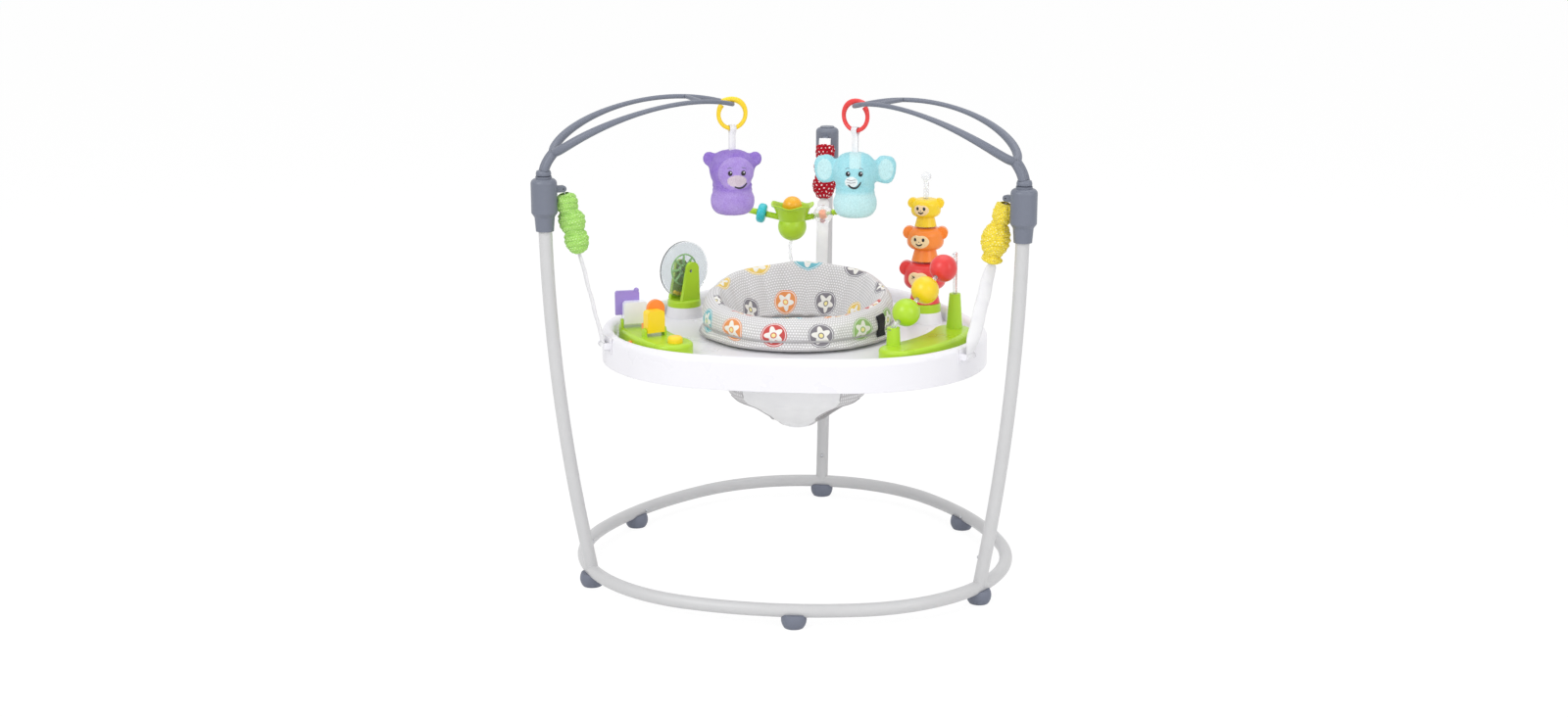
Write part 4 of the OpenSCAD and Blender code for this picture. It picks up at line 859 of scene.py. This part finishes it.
def seat_sling():
    rows = sling_shell()
    length = sum((rows[i + 1][0] - rows[i][0]).length for i in range(len(rows) - 1))
    sling = formed("seat_sling_cloth", rows, FINISH["seat_fabric"], (10 * PRINT_PITCH, length))
    sling.data.materials.append(FINISH["sling_fabric"])
    columns = len(rows[0])
    for face in sling.data.polygons:
        degrees = 360 * ((face.index % columns) + 0.5) / columns
        face.material_index = int(abs(degrees - 270) < FRONT_PANEL)
    tree = tree_of(sling)
    settled(added(sling, "SOLIDIFY", thickness=0.0016, offset=-1.0))
    trims = []
    for degrees in LEG_HOLES:
        middle, axis, side, upper = hole_frame(degrees)
        ring = [(side * cos(t) + upper * sin(t)) * HOLE_SIZE / 1000 for t in around(96)]
        ends = [[middle + axis * reach + p for p in ring] for reach in (-0.02, 0.07)]
        cutter = formed("cutter", ends, FINISH["white"], None, True)
        settled(added(sling, "BOOLEAN", operation="DIFFERENCE", solver="EXACT", object=cutter))
        bpy.data.objects.remove(cutter)
        edge = [tree.ray_cast(middle + axis * 0.07 + p, -axis)[0] for p in ring]
        trims.append(tube("binding", edge, 0.0030, PIPING, 10, loop=True))
    for degrees in (270 - FRONT_PANEL, 270 + FRONT_PANEL):
        out = heading(radians(degrees))
        line = [spot(0, 0, lerp(455, 352, i / 24)) + out * 0.3 for i in range(25)]
        seam = [tree.ray_cast(p, -out)[0] for p in line]
        trims.append(tube("seam", seam, 0.0022, PIPING, 8))
    binding = joined("sling_binding", *trims)
    given(sling, "seat", "sling_fabric", "seat_sling")
    given(binding, "seat", "sling_fabric")


seat_trim(seat_pad())
seat_sling()


# Hanging toys: links, tapes and two stuffed animals

VIEW = Vector((0.516, -4.1919, 1.421))
# Heights of the rings' middles and of the tapes' loops, in millimetres
RING_Z, TAPE_Z = 890.55, 863.55


def facing(at, turn=0.0):
    """From a toy's own frame, whose -Y looks at the viewer, turned about Z by some degrees."""
    yaw = math.atan2(VIEW.x - at.x, at.y - VIEW.y) + radians(turn)
    return Matrix.Translation((at.x, at.y, 0)) @ Matrix.Rotation(yaw, 4, "Z")


def applique(name, tree, frame, middle, outline, material, lift, rings=7, sides=40):
    """A pad on a surface, seen along the frame's +Y; outline gives its half sizes at an angle."""
    look = (frame.to_3x3() @ Vector((0, 1, 0))).normalized()
    rows = []
    for i in range(rings + 1):
        share = max(i / rings, 0.02)
        row = []
        for t in around(sides):
            w, h = outline(t)
            flat = Vector((middle[0] + share * w * cos(t), -200, middle[1] + share * h * sin(t)))
            hit, normal, _, _ = tree.ray_cast(frame @ (flat / 1000), look)
            rise = lift * sqrt(max(1 - share ** 4, 0)) - (0.0006 if i == rings else 0)
            row.append(hit + normal * rise)
        rows.append(row[::-1])
    verts, faces, uvs = grid(rows, scale=(0.02, 0.01))
    centre = len(verts)
    verts.append(sum(rows[0], Vector()) / sides)
    for k in range(sides):
        faces.append(((k + 1) % sides, k, centre))
        uvs += FAN_UVS
    return piece(name, verts, faces, material, uvs)


def oval(w, h):
    return lambda t: (w, h)


def drawn(name, tree, frame, points, radius, material):
    """A stitched or moulded line on a surface, through points of the frame's front, in millimetres."""
    look = (frame.to_3x3() @ Vector((0, 1, 0))).normalized()
    curve = smooth_path([Vector((x, -200, z)) for x, z in points], 6)
    path = [tree.ray_cast(frame @ (p / 1000), look)[0] for p in curve]
    last = len(path) - 1
    thick = [radius * (0.45 + 0.55 * sin(pi * i / last) ** 0.5) for i in range(last + 1)]
    return tube(name, path, thick, material, 8)


def link(name, slot):
    """An open ring with a flat tongue over its gap and a bead at its other end."""
    degrees = CORNERS[name]
    out = heading(radians(degrees))
    middle = spot(TIP_R, degrees, RING_Z)
    path, thick = [], []
    for i in range(73):
        t = radians(lerp(40, -262, i / 72))
        path.append(middle + (out * cos(t) + Vector((0, 0, 1)) * sin(t)) * 0.027)
        thick.append((4.0 + 1.3 * (1 - step(i, 0, 9)) + 1.4 * step(i, 50, 66)) / 1000)
    end, ahead = path[-1], (path[-1] - path[-2]).normalized()
    for i in range(1, 11):
        path.append(end + ahead * 0.0028 * i - Vector((0, 0, 0.00010 * i * i)))
        thick.append((5.4 - 0.05 * i if i < 9 else 5.0 - 1.0 * (i - 8)) / 1000)
    ring = tube("ring_" + name, path, thick, FINISH[slot], 18, up=square_to(out))
    given(ring, "link_" + name, slot, "link_" + name)


def tape(name, degrees):
    """White tape: a loop round the ring and two layers sewn down into the toy's head."""
    leg = [(lerp(1.3, 1.1, i / 13), lerp(-10, -46, i / 13)) for i in range(14)]
    turns = [radians(lerp(205, -25, i / 24)) for i in range(25)]
    path = [(-x, z) for x, z in leg[::-1]] + [(6.4 * cos(t), 6.4 * sin(t)) for t in turns] + leg
    out = [(-1, 0)] * 14 + [(cos(t), sin(t)) for t in turns] + [(1, 0)] * 14
    path, out = ([Vector((x, 0, z)) for x, z in pairs] for pairs in (path, out))
    turn = Matrix.Rotation(radians(degrees - 90), 4, "Z")
    turn = Matrix.Translation(spot(TIP_R, degrees, TAPE_Z)) @ turn
    return ribbon(name, turn, path, [13] * len(path), 1.1, out, (0.028, 0.12))


def blob(at, size, power=0.82, lean=0.0, sides=36, rings=20):
    """(vertices, faces) of a plump closed form; size is its width, depth and height in millimetres."""
    turn = Matrix.Rotation(radians(lean), 3, "Y")
    rows = []
    for i in range(1, rings):
        lat = pi * (i / rings - 0.5)
        c = cos(lat) ** power
        w, d, h = size[0] / 2 * c, size[1] / 2 * c, size[2] / 2 * sin(lat)
        ring = [Vector((w * cos(t), d * sin(t), h)) for t in around(sides)]
        rows.append([Vector(at) + turn @ p for p in ring])
    verts, faces, _ = grid(rows)
    return capped(verts, faces, None, sides, len(rows))[:2]


def stuffed(name, blobs, frame, dent, paint, slot):
    """A stuffed toy: forms fused and swelled, then drawn in along its seams and painted."""
    verts, faces = [], []
    for form in blobs:
        points, rings = blob(*form)
        faces += [tuple(i + len(verts) for i in ring) for ring in rings]
        verts += [frame @ (q / 1000) for q in points]
    toy = piece(name, verts, faces, FINISH[slot])
    settled(added(toy, "REMESH", mode="VOXEL", voxel_size=0.0030))
    settled(added(toy, "SMOOTH", factor=0.5, iterations=8))
    swell(toy, 4.0, 0.003)
    settled(added(toy, "SUBSURF", levels=1, render_levels=1))
    home = frame.inverted()
    normals = [v.normal.copy() for v in toy.data.vertices]
    tint = toy.data.color_attributes.new("tint", "FLOAT_COLOR", "POINT")
    for v, normal in zip(toy.data.vertices, normals):
        local = home @ v.co * 1000
        tint.data[v.index].color = paint(local)
        lumps = 0.7 * noise.noise(local * 0.055) + 0.35 * noise.noise(local * 0.14)
        v.co -= normal * (dent(local) - lumps) / 1000
    return toy


def groove(distance, width, depth):
    return depth * exp(-(distance / width) ** 2)


def round_face(p, middle, half):
    """Distance outside an oval of the toy's front, in millimetres; far away at the back."""
    if p.y > 6:
        return 60.0
    x, z = (p.x - middle[0]) / half[0], (p.z - middle[1]) / half[1]
    return (hypot(x, z) - 1) * min(half)


def seams(p):
    """Depth of the seam down a toy's sides and of its neck."""
    return groove(p.y - 7, 2.2, 1.1) + groove(p.z - 752, 3.0, 1.6)


def faded(p, above, below):
    """The paler colour of a toy's body under the darker one of its head."""
    return [lerp(b, a, step(p.z, 742, 754)) for a, b in zip(above, below)]


PURPLE, LILAC, MUZZLE = tone(150, 122, 204), tone(172, 146, 218), tone(214, 198, 212)
AQUA, ICE, SNOW = tone(164, 222, 232), tone(198, 236, 240), tone(238, 246, 248)


def sewn_eyes(tree, frame, places, z):
    """Round black eyes with a pale glint, and a stitched brow over each."""
    bits = []
    for x, side in zip(places, (-1, 1)):
        eye = applique("eye", tree, frame, (x, z), oval(4.4, 5.2), BLACK, 0.0018)
        bits.append(applique("glint", tree_of(eye), frame, (x + 1.3, z + 1.8), oval(1.4, 1.5),
                             FINISH["white"], 0.0006, 4, 16))
        bits.append(eye)
        brow = [(x + side * 5, z + 8.5), (x + side, z + 10.5), (x - side * 3, z + 10)]
        bits.append(drawn("brow", tree, frame, brow, 0.0006, FINISH["slate"]))
    return bits


def bear():
    frame = facing(spot(TIP_R, CORNERS["left"], 0))
    forms = [((0, 0, 785), (88, 64, 78), 0.72), ((0, 0, 727), (85, 60, 56), 0.5),
             ((0, 0, 752), (80, 58, 40), 0.6),
             ((-43, 3, 806), (27, 18, 28)), ((43, 3, 806), (27, 18, 28))]

    def dent(p):
        hood = round_face(p, (7, 781), (35, 33)) if p.z > 752 else 60
        ear = hypot(abs(p.x) - 43, p.z - 806) if p.y < 2 else 60
        return groove(hood, 2.0, 1.8) + seams(p) + groove(ear, 6.5, 2.2)

    def paint(p):
        if round_face(p, (8.5, 768), (18, 11.5)) < 0:
            return MUZZLE
        if p.z > 752 and round_face(p, (7, 781), (35, 33)) < 0:
            return LILAC
        return faded(p, PURPLE, LILAC)

    toy = stuffed("bear_plush", forms, frame, dent, paint, "plush_purple")
    tree = tree_of(toy)
    bits = sewn_eyes(tree, frame, (-4, 20.5), 783)
    mouth = [(4, 757.5), (13, 754.5), (21, 756.5), (27, 763)]
    bits.append(drawn("mouth", tree, frame, mouth, 0.0018, BLACK))
    dress_toy("bear", toy, bits, CORNERS["left"], "plush_purple")


def elephant():
    frame = facing(spot(TIP_R, CORNERS["right"], 0))
    forms = [((0, 0, 785), (86, 64, 78), 0.72), ((0, 0, 727), (84, 60, 56), 0.5),
             ((0, 0, 752), (79, 58, 40), 0.6),
             ((-56, 2, 792), (44, 18, 54), 0.5, -6), ((56, 2, 791), (44, 18, 54), 0.5, 6)]

    def dent(p):
        stripe = groove(abs(p.x) - 11, 1.6, 1.3) * step(p.z, 792, 800) if p.y < 6 else 0
        ear = hypot((abs(p.x) - 57) / 13, (p.z - 791) / 18) if p.y < 4 else 9
        return stripe + seams(p) + 1.5 * (1 - step(ear, 0.5, 1.1))

    def paint(p):
        if round_face(p, (-7, 771), (12, 10)) < 0:
            return SNOW
        if abs(p.x) < 11 and p.z > 796 and p.y < 6:
            return ICE
        if abs(p.x) > 44 and p.y < 2 and hypot((abs(p.x) - 57) / 14, (p.z - 791) / 20) < 1:
            return ICE
        return faded(p, AQUA, ICE)

    toy = stuffed("elephant_plush", forms, frame, dent, paint, "plush_aqua")
    tree = tree_of(toy)
    bits = sewn_eyes(tree, frame, (-13.5, 10), 786.5)
    mouth = [(-13, 766), (-6, 760.5), (3, 761), (11, 771)]
    bits.append(drawn("mouth", tree, frame, mouth, 0.0020, BLACK))
    for z in (776, 771):
        crease = [(-16, z), (-8, z - 1.5), (1, z)]
        bits.append(drawn("crease", tree, frame, crease, 0.0006, FINISH["slate"]))
    dress_toy("elephant", toy, bits, CORNERS["right"], "plush_aqua")


def dress_toy(name, toy, bits, degrees, slot):
    given(toy, name, slot, name + "_head", name + "_body")
    given(joined(name + "_face", *bits), name, "steel")
    given(tape(name + "_tape", degrees), name, "webbing")


link("left", "yellow")
link("right", "red")
bear()
elephant()


# Faces on the stacking toy

def stack_face(node, lines):
    low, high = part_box(node)
    tall, wide = (high[2] - low[2]) * 1000, (high[0] - low[0]) * 1000
    tree = tree_of(nodes[node])
    frame = facing(place(236.63, 67.92, 0), -20)
    z = high[2] * 1000 - 0.37 * tall

    def heart(t):
        notch = 1 - 0.16 * exp(-((t - pi / 2) / 0.30) ** 2)
        jaw = 1 + 0.08 * exp(-((t - 1.5 * pi) / 0.7) ** 2)
        return 0.235 * wide * notch, 0.215 * tall * notch * jaw

    bits = [applique("patch", tree, frame, (0, z), heart, CREAM, 0.0009)]
    patch = tree_of(bits[0])
    up, across = 0.055 * tall, 0.095 * wide
    for x in (-across, across):
        lid = [(x * 1.35, z + up + 2.4), (x * 0.7, z + up), (x * 1.35, z + up - 2.4)]
        if lines:
            bits.append(drawn("wink", patch, frame, lid, 0.0009, BLACK))
        else:
            eye = applique("eye", patch, frame, (x, z + up), oval(3.1, 4.0), BLACK, 0.0010, 4, 20)
            bits.append(eye)
    mouth = [(-0.075 * wide, z - 0.07 * tall), (0, z - 0.115 * tall), (0.075 * wide, z - 0.065 * tall)]
    bits.append(drawn("mouth", patch, frame, mouth, 0.0014, BLACK))
    bits.append(applique("nose", patch, frame, (0, z - 0.01 * tall), oval(1.6, 1.0),
                         FINISH["slate"], 0.0006, 4, 16))
    given(joined(node + "_face", *bits), node, "white")


for node, lines in (("stack_yellow", False), ("stack_orange", False), ("stack_red", True)):
    stack_face(node, lines)


# Flower: cup, petals, leaf arms and a springy stalk

FLOWER = place(-44.1437, 203.095, 0)
# Rise of the leaf arms in degrees, and their bead's place along them in millimetres
LEAF_TILT, LEAF_BEAD = 12, 64


def flower_cup(foot):
    """Cup, ring of petals and core."""
    lime = FINISH["lime"]
    cup = [(0.4, 591)] + ball_line(29, 620, 4, 128, 4) + [(15, 640)]
    parts = [lathe("cup", cup, lime, foot, 64)]
    rows = []
    for i in range(21):
        t = i / 20
        row = []
        for a in around(120):
            petal = cos(5 * (a - pi / 2))
            tall = 46 + 2.5 * petal + 1.5 * cos(2 * a)
            r = lerp(17, 40.5, t ** 0.62) * (1 + 0.03 * petal * t) + 3 * t ** 7
            row.append(Vector((r * cos(a), r * sin(a), 623 + tall * t - 6 * t ** 7)))
        rows.append(row)
    petals = formed("petals", in_metres(foot, rows), lime, (0.2, 0.05))
    parts.append(settled(added(petals, "SOLIDIFY", thickness=0.0030, offset=-1.0)))
    core = [(12, 632), (13, 636), (13, 647), (17, 650), (17.5, 652)]
    return parts + [lathe("core", core, lime, foot)]


def leaf_arm(side):
    """A rod with two stops for its bead, and a leaf at its end."""
    lime = FINISH["lime"]
    tilt = radians(LEAF_TILT)
    ahead = Vector((side * cos(tilt), 0, sin(tilt)))
    base = FLOWER + Vector((0, 0, 0.633))
    path = [base + ahead * (0.096 * i / 30) for i in range(31)]
    half = 9.4 if side < 0 else 19.4
    thick = [(3.9 if abs(3.2 * i - LEAF_BEAD) < half + 3.3 else 6.2) / 1000 for i in range(31)]
    parts = [tube("leaf_rod", path, thick, lime, 16)]
    for at in (LEAF_BEAD + half + 0.4, LEAF_BEAD - half - 3.4):
        stop = [base + ahead * ((at + d) / 1000) for d in (0, 0.5, 2.5, 3)]
        parts.append(tube("stop", stop, [0.0060, 0.0066, 0.0066, 0.0060], lime, 20))
    down = ahead.cross(Vector((0, 1, 0)))
    rim = []
    for i in range(17):
        u = i / 16
        tip = base + ahead * ((86 + 19 * u) / 1000)
        wide = 0.0005 + 0.0088 * sin(pi * min(u * 0.9 + 0.1, 1)) ** 0.8
        deep = 0.0024 * sin(pi * (0.06 + 0.9 * u))
        rim.append([tip + Vector((0, cos(t), 0)) * wide + down * (sin(t) * deep) for t in around(20)])
    return parts + [formed("leaf", rim, lime, (0.05, 0.02), True)]


def flower():
    foot = Matrix.Translation(FLOWER)
    head = joined("flower_form", *flower_cup(foot), *leaf_arm(-1), *leaf_arm(1))
    stalk = []
    for i in range(41):
        bow = sin(TAU * i / 40)
        stalk.append(FLOWER + Vector((0.004 * bow, 0.002 * bow, (472 + 131 * i / 40) / 1000)))
    rod = tube("rod", stalk, 0.0033, FINISH["clear"], 16)
    foot_ball = [(0.4, 464.1)] + ball_line(7.9, 472, 12, 170, 8)
    bend = joined("flower_bend", rod, lathe("ball", foot_ball, FINISH["clear"], foot, 28))
    tilt, reach = radians(LEAF_TILT), LEAF_BEAD / 1000
    bead = FLOWER + Vector((reach * cos(tilt), 0, 0.633 + reach * sin(tilt)))
    turn = Matrix.Rotation(radians(90 - LEAF_TILT), 4, "Y")
    heart = lathe("bead_heart", [(4.8, -6), (6.6, -5), (8, 0), (6.6, 5), (4.8, 6)], FINISH["orange"],
                  Matrix.Translation(bead) @ turn, 28)
    given(head, "flower", "lime", "flower_head")
    given(bend, "flower", "clear", "flower_stalk")
    given(heart, "bead_clear", "orange")


flower()


# Wheel inside the clear spinner

def spinner_wheel():
    middle, axis = place(-242.89, 55.36, 555), Vector((-0.7314, 0.6820, 0))
    side = Vector((axis.y, -axis.x, 0))
    up = Vector((0, 0, 1))
    parts = []
    for r, thick in ((30, 1.6), (9, 2.2)):
        ring = [middle + (side * cos(a) + up * sin(a)) * r / 1000 for a in around(72)]
        parts.append(tube("ring", ring, thick / 1000, WHEEL, 10, loop=True, up=axis))
    for a in around(8):
        out = side * cos(a) + up * sin(a)
        spoke = [middle + out * (0.009 + 0.021 * i / 8) for i in range(9)]
        thick = [0.0016 + 0.0010 * sin(pi * i / 8) for i in range(9)]
        parts.append(tube("spoke", spoke, thick, WHEEL, 8, up=axis))
    given(joined("spinner_wheel", *parts), "spinner", "lime")


spinner_wheel()


# Camera, light and floor

def aimed(name, data, at, ahead):
    """An object at a point that looks along ahead."""
    turn = ahead.to_track_quat("-Z", "Y").to_euler()
    obj = having(bpy.data.objects.new(name, data), location=at, rotation_euler=turn)
    scene.collection.objects.link(obj)
    return obj


def lamp(name, at, size, power):
    light = having(bpy.data.lights.new(name, "AREA"), size=size, energy=power)
    aimed(name, light, at, Vector((0, -0.05, 0.5)) - Vector(at))


def seen_directly(tree):
    path = put(tree, "LightPath")
    rays = [path.outputs[name] for name in ("Is Camera Ray", "Is Glossy Ray", "Is Transmission Ray")]
    return calc(tree, "MAXIMUM", calc(tree, "MAXIMUM", rays[0], rays[1]), rays[2])


def ended(tree, output, factor, shaded, seen):
    """Ends an emptied graph with a mix of the shader that lights the scene and the one that is seen."""
    mix = put(tree, "MixShader", Fac=factor)
    feed(tree, shaded.outputs[0], mix.inputs[1])
    feed(tree, seen.outputs[0], mix.inputs[2])
    put(tree, output, Surface=mix.outputs[0])


def emptied(block):
    block.use_nodes = True
    block.node_tree.nodes.clear()
    return block.node_tree


def studio():
    scene.world = bpy.data.worlds.new("studio")
    tree = emptied(scene.world)
    dim = put(tree, "Background", Color=(1, 1, 1, 1), Strength=0.62)
    bright = put(tree, "Background", Color=(1, 1, 1, 1), Strength=1.0)
    ended(tree, "OutputWorld", seen_directly(tree), dim, bright)
    lamp("key", (-2.4, -3.4, 3.4), 2.6, 84)
    lamp("fill", (3.0, -2.6, 2.2), 2.6, 40)
    lamp("front", (0.6, -4.2, 0.5), 2.4, 11)
    lamp("top", (0.2, 0.5, 3.8), 2.8, 34)
    verts = [(-20, -20, 0), (20, -20, 0), (20, 20, 0), (-20, 20, 0)]
    material = bpy.data.materials.new("floor")
    tree = emptied(material)
    matt = put(tree, "BsdfDiffuse", Color=(0.9, 0.9, 0.9, 1))
    glow = put(tree, "Emission", Color=(1, 1, 1, 1), Strength=1.06)
    ended(tree, "OutputMaterial", calc(tree, "MULTIPLY", seen_directly(tree), 0.86), matt, glow)
    piece("floor", verts, [(0, 1, 2, 3)], material)


lens = having(bpy.data.cameras.new("camera"), lens=50.63, sensor_width=36)
scene.camera = aimed("camera", lens, VIEW, Vector((-0.1265, 0.9634, -0.2365)))
studio()
scene.view_settings.view_transform = "Standard"
